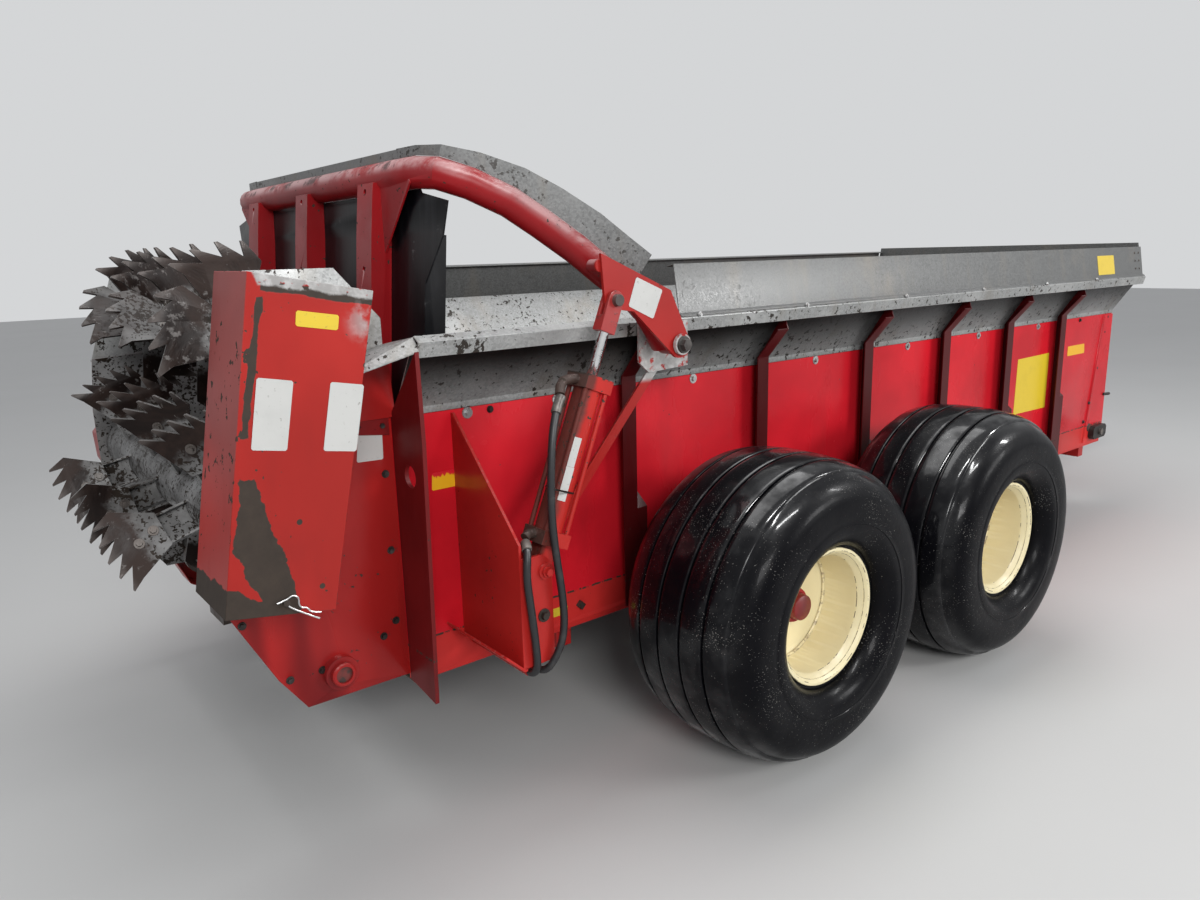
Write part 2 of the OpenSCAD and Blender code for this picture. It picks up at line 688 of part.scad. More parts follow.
// Post that hangs from the cross tube and backs the sheet: rear web, two flanges and bolt holes
module gate_post(y) {
    post_half = 52;
    rear = [
        [hinge_x - 722, tube_z - 16], [hinge_x - 739, hinge_z + 344], [hinge_x - 760, hinge_z + 103],
        [hinge_x - 790, hinge_z - 200], [hinge_x - 772, hinge_z - 300], [hinge_x - 700, hinge_z - 400],
        [hinge_x - 645, hinge_z - 442]];
    n = len(sheet_line) - 1;
    front = [for (i = [0:n - 9]) sheet_line[i] - seat_gap * corner_shift(sheet_line, i)];
    difference() {
        across(y - post_half, y + post_half) polygon(strip(rear, 6));
        for (z = [tube_z - 40, tube_z - 262])
            bar_x(y, z, 9, hinge_x - 780, hinge_x - 700);
    }
    for (side_y = [y - post_half, y + post_half - 6])
        across(side_y, side_y + 6)
            polygon(concat(rear, [for (i = [len(front) - 1:-1:0]) front[i]], [[tube_x + 10, tube_z - 16]]));
}

module gate_sheet() color(dark_steel) {
    half = gate_w / 2;
    ear = hinge_z + 425;
    intersection() {
        across(-half - 140, half + 140) polygon(strip(sheet_line, gate_t));
        along(hinge_x - 900, hinge_x) polygon([
            [-half, 0], [half, 0], [half, ear - 218], [half + 96, ear - 90], [half + 124, ear],
            [half - 20, tube_z - 56], [half - 60, tube_z], [60 - half, tube_z], [20 - half, tube_z - 56],
            [-half - 124, ear], [-half - 96, ear - 90], [-half, ear - 218]]);
    }
    // side flaps, which reach forward along the walls
    lower = [for (i = [1:len(sheet_line) - 1]) sheet_line[i]];
    for (y = [-half, half - gate_t])
        across(y, y + gate_t) polygon(strip(lower, 66));
}

// Galvanised strip that stands on the gate tube
module gate_shield() color(zinc) {
    high = [0, 28, 28, 32, 44, 60, 72, 80, 84, 86, 86];
    n = 9;
    bend_y = gate_line[1][1];
    for (m = [0, 1]) mirror([0, m, 0])
        shield_strip([for (i = [1:n]) gate_line[i]], [for (i = [1:n]) high[i]]);
    block([tube_x - 2, -bend_y, tube_z + gate_tube_r + seat_gap],
        [tube_x + 2, bend_y, tube_z + gate_tube_r + 26]);
}

module shield_strip(p, high) {
    n = len(p);
    half = 2;
    points = [for (i = [0:n - 1])
        let (d = along_dir(p, i), s = unit(cross(d, [0, 0, 1])) * half, up = unit(cross(s, d)))
        each [p[i] + s + up * (gate_tube_r + 1), p[i] - s + up * (gate_tube_r + 1),
              p[i] - s + up * (gate_tube_r + high[i]), p[i] + s + up * (gate_tube_r + high[i])]];
    walls = [for (i = [0:n - 2]) for (k = [0:3])
        let (j = (k + 1) % 4, a = i * 4, b = (i + 1) * 4)
        each [[a + k, b + k, a + j], [a + j, b + k, b + j]]];
    polyhedron(points, concat(walls, [[0, 1, 2, 3]], [[for (k = [3:-1:0]) (n - 1) * 4 + k]]));
}

// Lift cylinders

// Turns a cylinder drawn up the Z axis so that it points from its base pin to its eye
module on_cylinder_line() translate([base_x, cyl_y, base_z]) rotate([0, cyl_angle, 0]) children();

module barrel(side) color(red) on_side(side) on_cylinder_line() {
    half = cap_side / 2;
    low_cap = 70;
    high_cap = low_cap + 40 + barrel_len;
    difference() {
        union() {
            translate([-half, -half, low_cap]) cube([cap_side, cap_side, 40]);
            translate([-half, -half, high_cap]) cube([cap_side, cap_side, 40]);
            translate([0, 0, low_cap + 40]) cylinder(r = barrel_r, h = barrel_len);
            for (x = [-half + 11, half - 11]) for (y = [-half + 11, half - 11])
                translate([x, y, low_cap + 40]) cylinder(r = 7, h = barrel_len, $fn = 24);
            rotate([90, 0, 0]) translate([0, 0, -24]) cylinder(r = 34, h = 48);
            translate([-26, -24, 0]) cube([52, 48, low_cap]);
            port_elbow([[-47, 542], [-75, 533], [-96, 522], [-106, 503], [-108, 482]]);
            port_elbow([[-47, 92], [-66, 88], [-78, 76]]);
        }
        rotate([90, 0, 0]) translate([0, 0, -60]) cylinder(r = cyl_pin_r + pin_gap, h = 120);
        translate([0, 0, low_cap + 60]) cylinder(r = rod_r + pin_gap, h = barrel_len + 200);
    }
}

// A fitting that leaves the cylinder's side and turns down: distance out, then along the cylinder
module port_elbow(p)
    swept_tube([for (i = [0:len(p) - 1]) [p[i][0], 3 * i * i / 2, p[i][1]]], hose_r + 3, 12);

module rod(side) color(chrome) on_side(side) on_cylinder_line() {
    fork_low = cyl_dist - 50;
    ear_in = arm_plate_t / 2 + 2;
    ear_t = 12;
    wide = 27;
    translate([0, 0, 320]) cylinder(r = rod_r, h = fork_low - 320);
    translate([-wide, -ear_in - ear_t, fork_low - 46]) cube([2 * wide, 2 * (ear_in + ear_t), 46]);
    for (y = [-ear_in - ear_t, ear_in]) {
        translate([-wide, y, fork_low - 1]) cube([2 * wide, ear_t, cyl_dist - fork_low + 1]);
        translate([0, y, cyl_dist]) rotate([-90, 0, 0]) cylinder(r = wide, h = ear_t);
    }
    translate([0, ear_in + ear_t - 1, cyl_dist]) rotate([-90, 0, 0]) cylinder(r = 17, h = 16);
}

// Hoses from the two ports down to the pipe ends: x and z from the cylinder's pin, y out from its line
top_hose = [
    [83, 26, 482], [66, 32, 460], [45, 44, 428], [25, 57, 378], [13, 64, 306], [9, 65, 242],
    [8, 65, 176], [11, 65, 119], [18, 65, 50], [28, 65, -21], [37, 65, -93], [39, 65, -154],
    [34, 62, -205], [18, 59, -244], [0, 52, -276], [-12, 40, -296], [-17, 18, -304],
    [-17, 4, -304]
];
low_hose = [
    [-48, 14, 86], [-56, 30, 84], [-64, 46, 70], [-72, 54, 40], [-75, 54, 0], [-70, 54, -50],
    [-63, 54, -112], [-57, 54, -172], [-53, 54, -223], [-50, 52, -262], [-48, 40, -292],
    [-47, 18, -304], [-47, 4, -304]
];

module hoses(side) color(black) on_side(side)
    for (line = [top_hose, low_hose])
        swept_tube([for (q = line) [base_x + q[0], cyl_y + q[1], base_z + q[2]]], hose_r, 10);

// Beaters

// A toothed paddle in its own plane: tip radius, foot radius, half width of the foot,
// half angle of the toothed edge and number of teeth, which all hook one way
module paddle_outline(reach, foot, foot_half, half_angle, teeth) {
    step = 2 * half_angle / teeth;
    root = reach - tooth_h;
    polygon(concat(
        [[foot, -foot_half], [root * cos(half_angle), -root * sin(half_angle)]],
        [for (i = [1:teeth]) let (a = -half_angle + i * step) each [
            if (i > 1) root * [cos(a - 1.2 * step), sin(a - 1.2 * step)],
            reach * [cos(a - tooth_flat * step), sin(a - tooth_flat * step)],
            reach * [cos(a), sin(a)]]],
        [root * [cos(half_angle - 0.2 * step), sin(half_angle - 0.2 * step)], [foot, foot_half]]));
}

// Paddles on each beater: turn about the shaft, share of the greatest lean, and place along the
// shaft as a share of the drum's half length
low_paddles = [
    [115, -0.85, 0.85], [113, -0.8, 0.34], [108, 0, -0.13], [112, 0, -0.61],
    [197, 0.6, 0.54], [193, 0, 0.05], [191, 0.5, -0.45],
    [285, 0.1, 0.42], [285, 0, -0.07], [285, 0, -0.93],
    [15, 0, 0.54], [15, 0, -0.07], [15, 0, 0.93]
];
up_paddles = [
    [100, 0.1, 0.68], [108, 0.5, 0.26], [112, 0.6, -0.2], [104, 0.5, -0.65],
    [166, 0.3, 0.82], [164, 1, 0.12], [165, 0.8, -0.45],
    [290, 0.2, 0.16], [290, 0.2, -0.81],
    [15, 0.1, 0.68], [15, -0.4, -0.27]
];
low_foot_half = 50;

function low_reach() = low_tip_r;

// The shaft and drum that carry a beater's paddles
module drum(drum_r, end_y) {
    cylinder(r = drum_r, h = 2 * drum_half, center = true);
    translate([0, 0, -end_y]) cylinder(r = 25, h = 2 * end_y);
}

// Stands each paddle of a table on the shaft line, turned and leaning as the table says
module for_paddles(paddles)
    for (p = paddles)
        rotate([0, 0, p[0]]) translate([0, 0, p[2] * drum_half]) rotate([p[1] * paddle_lean, 0, 0]) children();

module beater_lower() color(dark_steel)
    translate([low_x, 0, low_z]) rotate([90, 0, 0]) {
        drum(low_drum_r, wall_y + 60);
        // a channel arm carries each paddle, whose foot lies on the arm's flanges
        for_paddles(low_paddles) {
            translate([0, 0, 18]) linear_extrude(paddle_t)
                paddle_outline(low_tip_r, 175, low_foot_half, 21, 5);
            translate([60, -low_foot_half + 4, -22]) cube([195, 2 * low_foot_half - 8, 6]);
            for (v = [-low_foot_half + 4, low_foot_half - 10])
                translate([60, v, -22]) cube([195, 6, 41]);
        }
    }

module beater_upper() color(dark_steel)
    translate([up_x, 0, up_z]) rotate([90, 0, 0]) {
        drum(up_drum_r, wall_y + 60);
        for_paddles(up_paddles) {
            translate([0, 0, -paddle_t / 2]) linear_extrude(paddle_t)
                paddle_outline(up_tip_r, up_drum_r * 0.7, 42, 30, 4);
            translate([up_drum_r * 0.7, -30, -28]) cube([75, 60, 26]);
        }
    }

placed() floor_sheet();
placed() floor_chain();
placed() floor_chain_shafts();
placed() side_wall("left");  // side_wall_left
placed() side_wall("right");  // side_wall_right
placed() flare("left");  // flare_left
placed() flare("right");  // flare_right
placed() side_board("left");  // side_board_left
placed() side_board("right");  // side_board_right
placed() front_wall();
placed() front_board();
placed() rear_sheet("left");  // rear_sheet_left
placed() rear_sheet("right");  // rear_sheet_right
placed() wing("left");  // wing_left
placed() wing("right");  // wing_right
placed() chain_guard();
placed() drive_case();
placed() lift_bracket("left");  // lift_bracket_left
placed() lift_bracket("right");  // lift_bracket_right
placed() undercarriage();
placed() walking_beam("left");  // walking_beam_left
placed() walking_beam("right");  // walking_beam_right
placed() tongue();
placed() hitch_clevis();
placed() jack_tube();
placed() jack_leg();
placed() driveline();
placed() tyre(axle_gap / 2, "left");  // tyre_front_left
placed() tyre(axle_gap / 2, "right");  // tyre_front_right
placed() tyre(-axle_gap / 2, "left");  // tyre_rear_left
placed() tyre(-axle_gap / 2, "right");  // tyre_rear_right
placed() rim(axle_gap / 2, "left");  // rim_front_left
placed() rim(axle_gap / 2, "right");  // rim_front_right
placed() rim(-axle_gap / 2, "left");  // rim_rear_left
placed() rim(-axle_gap / 2, "right");  // rim_rear_right
placed() gate_frame();
placed() gate_sheet();
placed() gate_shield();
placed() barrel("left");  // barrel_left
placed() barrel("right");  // barrel_right
placed() rod("left");  // rod_left
placed() rod("right");  // rod_right
placed() hoses("left");  // hoses_left
placed() hoses("right");  // hoses_right
placed() beater_lower();
placed() beater_upper();
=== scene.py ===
# Looks of the towed manure spreader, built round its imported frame.
# Places are given as at(forward, left, up), measured from the wheel pivot on the ground, in metres.
import json
import math

import bmesh
import bpy
from mathutils import Matrix, Vector


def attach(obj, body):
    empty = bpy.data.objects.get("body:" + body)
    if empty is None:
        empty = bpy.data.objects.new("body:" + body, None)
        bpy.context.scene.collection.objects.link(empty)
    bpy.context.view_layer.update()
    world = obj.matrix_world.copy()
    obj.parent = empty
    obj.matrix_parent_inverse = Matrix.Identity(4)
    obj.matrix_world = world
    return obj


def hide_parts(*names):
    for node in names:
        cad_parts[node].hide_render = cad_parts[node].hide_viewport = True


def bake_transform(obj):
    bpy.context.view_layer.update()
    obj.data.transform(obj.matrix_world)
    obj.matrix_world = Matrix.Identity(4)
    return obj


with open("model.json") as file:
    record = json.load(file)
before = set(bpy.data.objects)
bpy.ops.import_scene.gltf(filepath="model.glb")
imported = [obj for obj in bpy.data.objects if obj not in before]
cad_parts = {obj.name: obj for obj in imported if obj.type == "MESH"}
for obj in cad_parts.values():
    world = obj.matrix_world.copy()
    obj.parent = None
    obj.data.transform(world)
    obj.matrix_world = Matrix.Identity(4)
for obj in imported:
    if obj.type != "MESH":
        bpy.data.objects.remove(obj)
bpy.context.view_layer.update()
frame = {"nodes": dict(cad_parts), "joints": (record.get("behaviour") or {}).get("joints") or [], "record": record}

UP = Vector((0, 0, 1))
SIDES = {"right": -1, "left": 1}
joint_place = {j["name"]: Vector(j["pos_m"]) for j in frame["joints"] if j.get("pos_m")}
body_of_node = {n: b for b, nodes in frame["record"]["behaviour"]["bodies"].items() for n in nodes}
pivot_x = (joint_place["spin_front_right"].x + joint_place["spin_rear_right"].x) / 2


def at(forward, left, up):
    """A place measured from the wheel pivot on the ground."""
    return Vector((pivot_x + forward, left, up))


def both(name):
    """A name with its left and its right ending."""
    return [name + "_left", name + "_right"]


# How far out the faces of sheets and wheels lie, and how far a bolt stands off its sheet
WALL_FACE = 0.766
INNER_FACE = 0.762
GUARD_FACE = 1.011
ARM_FACE = 1.0625
DISC_FACE = 1.277
PROUD = 0.0003

# Top of the sill, bolts of the flare's seam, rear end of the side's front plate, and front of the box
SILL_UP = 0.522
SEAM_UP = 1.184
FRONT_PLATE_BACK = 2.64
BOX_FRONT = 3.140

# The side board's outer face: how far out and how high its foot is, and its lean inwards as it rises
BOARD_FOOT_OUT = 0.9163
BOARD_FOOT_UP = 1.436
BOARD_LEAN = 0.1705

# Axles, before and behind the pivot, and the tyre's radius and half width
AXLE = 0.564
AXLE_UP = 0.500
TYRE_R = 0.500
TYRE_HALF = 0.273

# Lift cylinders: how far out they stand, base pin, rod eye, and the pin that the gate's arms turn on
CYL_OUT = 1.057
BASE = Vector((-1.397, 0, 0.772))
EYE = Vector((-1.102, 0, 1.503))
HINGE = Vector((-0.840, 0, 1.356))
cylinder_run = (EYE - BASE).normalized()
cylinder_square = Vector((cylinder_run.z, 0, -cylinder_run.x))
cylinder_length = (EYE - BASE).length

# Shafts as (forward, up), and half the length of a beater's drum
LOW_SHAFT = (-2.040, 0.960)
UP_SHAFT = (-1.965, 1.430)
CHAIN_SHAFT = (-1.884, 0.510)
FRONT_SHAFT = (3.045, 0.476)
DRUM_HALF = 0.740


# Camera, light and floor


def make_camera():
    """The photograph's viewpoint."""
    azimuth, rise, roll = (math.radians(v) for v in (-38.86, 12.69, -1.43))
    back = Vector((math.sin(azimuth) * math.cos(rise), -math.cos(azimuth) * math.cos(rise),
                   math.sin(rise)))
    level = (-back).cross(UP).normalized()
    steep = level.cross(-back)
    right = level * math.cos(roll) + steep * math.sin(roll)
    up = steep * math.cos(roll) - level * math.sin(roll)
    data = bpy.data.cameras.new("camera")
    data.sensor_width = 36
    data.lens = 26.21
    data.clip_end = 100
    camera = bpy.data.objects.new("camera", data)
    bpy.context.scene.collection.objects.link(camera)
    place = at(-2.721, -2.993, 1.634)
    rows = [(*row, place[i]) for i, row in enumerate(zip(right, up, back))]
    camera.matrix_world = Matrix(rows + [(0, 0, 0, 1)])
    bpy.context.scene.camera = camera


def make_room():
    """Plain light from all round, and a pale grey to be seen behind the machine and in its metal."""
    scene = bpy.context.scene
    scene.view_settings.view_transform = "Standard"
    world = bpy.data.worlds.new("room")
    scene.world = world
    world.use_nodes = True
    tree = world.node_tree
    fill = tree.nodes["Background"]
    fill.inputs["Color"].default_value = (0.93, 0.95, 1.0, 1)
    fill.inputs["Strength"].default_value = 0.46
    seen = tree.nodes.new("ShaderNodeBackground")
    seen.inputs["Color"].default_value = (0.66, 0.67, 0.68, 1)
    path = tree.nodes.new("ShaderNodeLightPath")
    share = path.outputs["Is Camera Ray"]
    for name in ("Is Glossy Ray", "Is Transmission Ray"):
        most = tree.nodes.new("ShaderNodeMath")
        most.operation = "MAXIMUM"
        tree.links.new(share, most.inputs[0])
        tree.links.new(path.outputs[name], most.inputs[1])
        share = most.outputs[0]
    mix = tree.nodes.new("ShaderNodeMixShader")
    tree.links.new(share, mix.inputs[0])
    tree.links.new(fill.outputs[0], mix.inputs[1])
    tree.links.new(seen.outputs[0], mix.inputs[2])
    tree.links.new(mix.outputs[0], tree.nodes["World Output"].inputs["Surface"])


# Lamps: name, place, aim, width, height, watts
LAMPS = [
    ("key", (-4.5, -8.6, 5.0), (0.2, -0.8, 0.8), 3.4, 2.2, 435),
    ("side", (5.2, -9.0, 4.0), (1.2, -0.8, 0.8), 3.6, 2.0, 400),
    ("overhead", (0.2, 0.2, 6.2), (0.2, 0.2, 0.0), 6.5, 2.4, 180),
    ("strip_near", (-0.9, -3.2, 5.2), (-0.2, -1.2, 0.5), 2.0, 0.26, 240),
    ("strip_front", (3.8, -4.0, 4.6), (0.8, -1.2, 0.5), 0.30, 1.4, 220),
]


def make_lamps():
    """Three soft lamps, and two strips that show only as highlights on shiny faces."""
    for name, place, aim, wide, high, watts in LAMPS:
        data = bpy.data.lights.new(name, "AREA")
        data.shape = "RECTANGLE"
        data.size = wide
        data.size_y = high
        data.energy = watts
        lamp = bpy.data.objects.new(name, data)
        bpy.context.scene.collection.objects.link(lamp)
        lamp.location = at(*place)
        lamp.visible_diffuse = not name.startswith("strip")
        lamp.rotation_mode = "QUATERNION"
        lamp.rotation_quaternion = (at(*aim) - at(*place)).to_track_quat("-Z", "Y")


def make_floor(finish):
    """The ground that the machine stands on."""
    reach = 30
    corners = [(-reach, -reach, 0), (reach, -reach, 0), (reach, reach, 0), (-reach, reach, 0)]
    mesh = bpy.data.meshes.new("floor")
    mesh.from_pydata(corners, [], [(0, 1, 2, 3)])
    mesh.materials.append(finish)
    floor = bpy.data.objects.new("floor", mesh)
    bpy.context.scene.collection.objects.link(floor)


# Shader maths


class Num:
    """A number on a shader socket, which takes part in sums."""

    def __init__(self, finish, socket):
        self.finish = finish
        self.socket = socket

    def maths(self, operation, *values):
        """One Math node on the given values."""
        return self.finish.node("ShaderNodeMath", {"operation": operation}, dict(enumerate(values)))[0]

    def __add__(self, other):
        return self.maths("ADD", self, other)

    def __sub__(self, other):
        return self.maths("SUBTRACT", self, other)

    def __mul__(self, other):
        return self.maths("MULTIPLY", self, other)

    def __rsub__(self, other):
        return self.maths("SUBTRACT", other, self)

    def __abs__(self):
        return self.maths("ABSOLUTE", self)

    __radd__ = __add__
    __rmul__ = __mul__

    def root(self):
        """The square root."""
        return self.maths("POWER", self, 0.5)

    def least(self, other):
        """The smaller of two numbers."""
        return self.maths("MINIMUM", self, other)

    def most(self, other):
        """The greater of two numbers."""
        return self.maths("MAXIMUM", self, other)

    def rise(self, low, high):
        """0 at low, 1 at high and smooth between; it falls where low is the greater one."""
        values = {"Value": self, "From Min": min(low, high), "From Max": max(low, high)}
        if low > high:
            values.update({"To Min": 1.0, "To Max": 0.0})
        return self.finish.node("ShaderNodeMapRange", {"interpolation_type": "SMOOTHSTEP"}, values)[0]

    def near(self, value, reach):
        """1 at a value, falling to 0 at reach from it."""
        return abs(self - value).rise(reach, reach * 0.5)


class Outputs:
    """The outputs of one node, each as a Num, by name or number."""

    def __init__(self, finish, node):
        self.finish = finish
        self.node = node

    def __getitem__(self, key):
        return Num(self.finish, self.node.outputs[key])


class Finish:
    """A procedural material while it is made."""

    def __init__(self, name, colour, fixed=()):
        """Starts from a plain colour; fixed gives the shader's inputs that don't vary, by name."""
        self.material = bpy.data.materials.new(name)
        self.material.use_nodes = True
        self.tree = self.material.node_tree
        self.shader = self.tree.nodes["Principled BSDF"]
        self.shader.inputs["Base Color"].default_value = (*colour, 1)
        self.material.diffuse_color = (*colour, 1)
        for key, value in dict(fixed).items():
            self.shader.inputs[key].default_value = value
        self.place = self.node("ShaderNodeTexCoord")["Object"]
        split = self.node("ShaderNodeSeparateXYZ", {}, {0: self.place})
        self.x, self.y, self.z = split[0] - pivot_x, split[1], split[2]
        self.out = abs(self.y)
        facing = self.node("ShaderNodeSeparateXYZ", {}, {0: self.node("ShaderNodeNewGeometry")["Normal"]})
        self.facing_front, self.facing_up = facing[0], facing[2]

    def node(self, kind, settings=(), values=()):
        """Adds one node, with its settings and then its values or links, and returns its outputs."""
        made = self.tree.nodes.new(kind)
        for key, value in dict(settings).items():
            setattr(made, key, value)
        for key, value in dict(values).items():
            if isinstance(value, Num):
                self.tree.links.new(value.socket, made.inputs[key])
            else:
                made.inputs[key].default_value = value
        return Outputs(self, made)

    @property
    def edge(self):
        """1 on the corners that dressed() has broken, 0 elsewhere."""
        return self.node("ShaderNodeAttribute", {"attribute_name": "edge"})["Fac"]

    def stretched(self, x, y, z):
        """The place with each axis scaled, for streaks."""
        return self.node("ShaderNodeMapping", {}, {"Vector": self.place, "Scale": (x, y, z)})[0]

    def noise(self, scale, detail=3.0, roughness=0.5, place=None, distortion=0.0):
        """Clouds between 0 and 1, on the piece's own place unless another is given."""
        values = {"Vector": place or self.place, "Scale": scale, "Detail": detail,
                  "Roughness": roughness, "Distortion": distortion}
        return self.node("ShaderNodeTexNoise", {}, values)["Fac"]

    def gathered(self, fine, coarse, share):
        """Fine clouds that crowd together in places; fine and coarse hold what noise() takes."""
        return self.noise(*fine) + self.noise(*coarse) * share

    def ragged(self, width, *noise):
        """A wander to either side of 0, which makes a border ragged."""
        return (self.noise(*noise) - 0.5) * width

    def grain(self, scale):
        """A random grey for each small crystal of the surface."""
        cells = self.node("ShaderNodeTexVoronoi", {"feature": "F1"}, {"Vector": self.place, "Scale": scale})
        return self.node("ShaderNodeSeparateColor", {}, {0: cells["Color"]})[0]

    def blend(self, share, low, high):
        """A colour that goes from low to high with share."""
        low, high = ((*c, 1) if isinstance(c, tuple) else c for c in (low, high))
        return self.node("ShaderNodeMix", {"data_type": "RGBA"}, {0: share, 6: low, 7: high})[2]

    def plain(self, colour):
        """One colour all over, to be worked on."""
        return self.blend(0.0, colour, colour)

    def times(self, colour, number):
        """A colour made lighter or darker by a number."""
        settings = {"data_type": "RGBA", "blend_type": "MULTIPLY"}
        return self.node("ShaderNodeMix", settings, {0: 1.0, 6: colour, 7: number})[2]

    def mixed(self, share, low, high):
        """A number that goes from low to high with share."""
        return self.node("ShaderNodeMix", {}, {0: share, 2: low, 3: high})[0]

    def use(self, colour, roughness, metallic=None, coat=None, height=None, depth=0.001):
        """Plugs what changes over the surface into the shader and hands over the material."""
        for key, value in (("Base Color", colour), ("Roughness", roughness), ("Metallic", metallic),
                           ("Coat Weight", coat)):
            if isinstance(value, Num):
                self.tree.links.new(value.socket, self.shader.inputs[key])
            elif value is not None:
                self.shader.inputs[key].default_value = value
        if height is not None:
            values = {"Height": height, "Strength": 1.0, "Distance": depth}
            bump = self.node("ShaderNodeBump", {}, values)[0]
            self.tree.links.new(bump.socket, self.shader.inputs["Normal"])
        return self.material

    def inside(self, corners):
        """How far a place lies inside a convex outline of (forward, up).

        The outline runs anticlockwise, as it is seen from the right side.
        """
        found = None
        for (a0, b0), (a1, b1) in zip(corners, corners[1:] + corners[:1]):
            length = math.hypot(a1 - a0, b1 - b0)
            da, db = (a1 - a0) / length, (b1 - b0) / length
            depth = (self.z - b0) * da - (self.x - a0) * db
            found = depth if found is None else found.least(depth)
        return found

    def from_point(self, forward, up):
        """Distance from a line across the machine."""
        dx, dz = self.x - forward, self.z - up
        return (dx * dx + dz * dz).root()

    def wheel_radius(self):
        """Distance from the nearer axle."""
        dx, dz = abs(self.x) - AXLE, self.z - AXLE_UP
        return (dx * dx + dz * dz).root()

    def along_cylinder(self):
        """How far up a lift cylinder, from its base pin."""
        return (self.x - BASE.x) * cylinder_run.x + (self.z - BASE.z) * cylinder_run.z

    def across_cylinder(self):
        """How far forward of a lift cylinder's middle line, square to it."""
        return (self.x - BASE.x) * cylinder_run.z - (self.z - BASE.z) * cylinder_run.x


# Finishes: each noise takes scale, detail and roughness, and each rise the values where it starts and ends

CRIMSON = (0.60, 0.012, 0.022)
BRICK = (0.33, 0.015, 0.014)
MAROON = (0.070, 0.002, 0.003)
BARE_BROWN = (0.028, 0.021, 0.017)
SPLATTER = (0.020, 0.014, 0.010)


def paint_specks(f):
    """Clouds whose peaks are the small dark specks on red paint."""
    return f.gathered((64.0, 2.0), (7.0, 2.0), 0.35)


def red_paint(name, tone=BRICK, zones=(), specks=0.35, chips=0.55, dust=0.25, patch=None, pale=None,
              roughness=0.28):
    """Farm red, uneven in shade, with chipped edges and dark specks.

    Each zone is (mask, colour, roughness); patch marks bare brown steel, pale marks rubbed grey.
    """
    f = Finish(name, tone, {"Specular IOR Level": 0.22})
    blotch = f.noise(1.7, 4.0, 0.55)
    fine = f.noise(38.0, 4.0, 0.6)
    ground, rough = f.plain(tone), roughness
    for mask, colour_there, roughness_there in zones:
        share = mask(f)
        ground = f.blend(share, ground, colour_there)
        rough = f.mixed(share, rough, roughness_there)
    shade_of = f.mixed(blotch.rise(0.35, 0.70), 0.80, 1.12)
    film = f.noise(5.0, 5.0, 0.6, f.stretched(1.0, 1.0, 0.30)).rise(0.50, 0.78)
    colour = f.times(ground, shade_of * (1.0 - film * 0.16))
    dusting = f.noise(120.0, 2.0).rise(0.56, 0.70) * f.facing_up.rise(0.2, 0.9) * dust
    colour = f.blend(dusting, colour, (0.50, 0.36, 0.33))
    worn = f.edge * f.gathered((26.0, 3.0, 0.6), (4.0,), 0.5).rise(0.80, 0.92) * chips * 1.8
    dots = paint_specks(f).rise(0.965 - specks * 0.14, 0.985 - specks * 0.13)
    bare = worn.most(dots)
    if patch:
        bare = bare.most(patch(f))
    colour = f.blend(bare.rise(0.2, 0.8), colour, f.blend(fine, BARE_BROWN, (0.055, 0.040, 0.030)))
    if pale:
        share = pale(f)
        rubbed_grey = f.blend(fine.rise(0.4, 0.7), (0.34, 0.33, 0.32), (0.50, 0.49, 0.48))
        colour = f.blend(share, colour, rubbed_grey)
        rough = f.mixed(share, rough, 0.5)
    rough = rough + blotch * 0.12 + film * 0.12 + bare * 0.35
    height = f.noise(14.0, 2.0) * 0.35 - bare * 0.25 + fine * 0.05
    return f.use(colour, rough, height=height, depth=0.0012)


def stained_inside(f):
    """Inner faces of the box."""
    between_walls = f.out.rise(INNER_FACE + 0.0015, INNER_FACE + 0.0005)
    behind_front = f.x.rise(BOX_FRONT - 0.001, BOX_FRONT - 0.002)
    return between_walls * behind_front


def post_steel(f):
    """Posts that stand out from the side sheet, behind the front plate."""
    stands_out = f.out.rise(WALL_FACE + 0.002, WALL_FACE + 0.005)
    behind_plate = f.x.rise(FRONT_PLATE_BACK, FRONT_PLATE_BACK - 0.01)
    return stands_out * behind_plate


def rear_flange(f):
    """The flange at the wall's rear end."""
    return f.x.rise(-1.55, -1.60) * f.out.rise(WALL_FACE + 0.006, WALL_FACE + 0.012)


def sill_band(f):
    """The sill under the side sheet."""
    return f.z.rise(SILL_UP + 0.001, SILL_UP - 0.001)


def broken_weld(f):
    """The dark broken run of weld between sill and side sheet."""
    line = (f.z + f.ragged(0.006, 30.0, 2.0)).near(SILL_UP, 0.0045)
    breaks = f.noise(70.0, 2.0, 0.5, f.stretched(1.0, 1.0, 0.2)).rise(0.42, 0.50)
    return line * breaks


def wall_red():
    """Side walls: crimson sheet, brighter sill, maroon posts, dark rear flange, scoured inner face."""
    return red_paint("wall_red", CRIMSON, [
        (sill_band, (0.55, 0.026, 0.023), 0.34),
        (post_steel, MAROON, 0.34),
        (rear_flange, (0.145, 0.006, 0.007), 0.34),
        (stained_inside, (0.105, 0.085, 0.070), 0.55),
    ], specks=0.15, dust=0.05, roughness=0.20, patch=broken_weld)


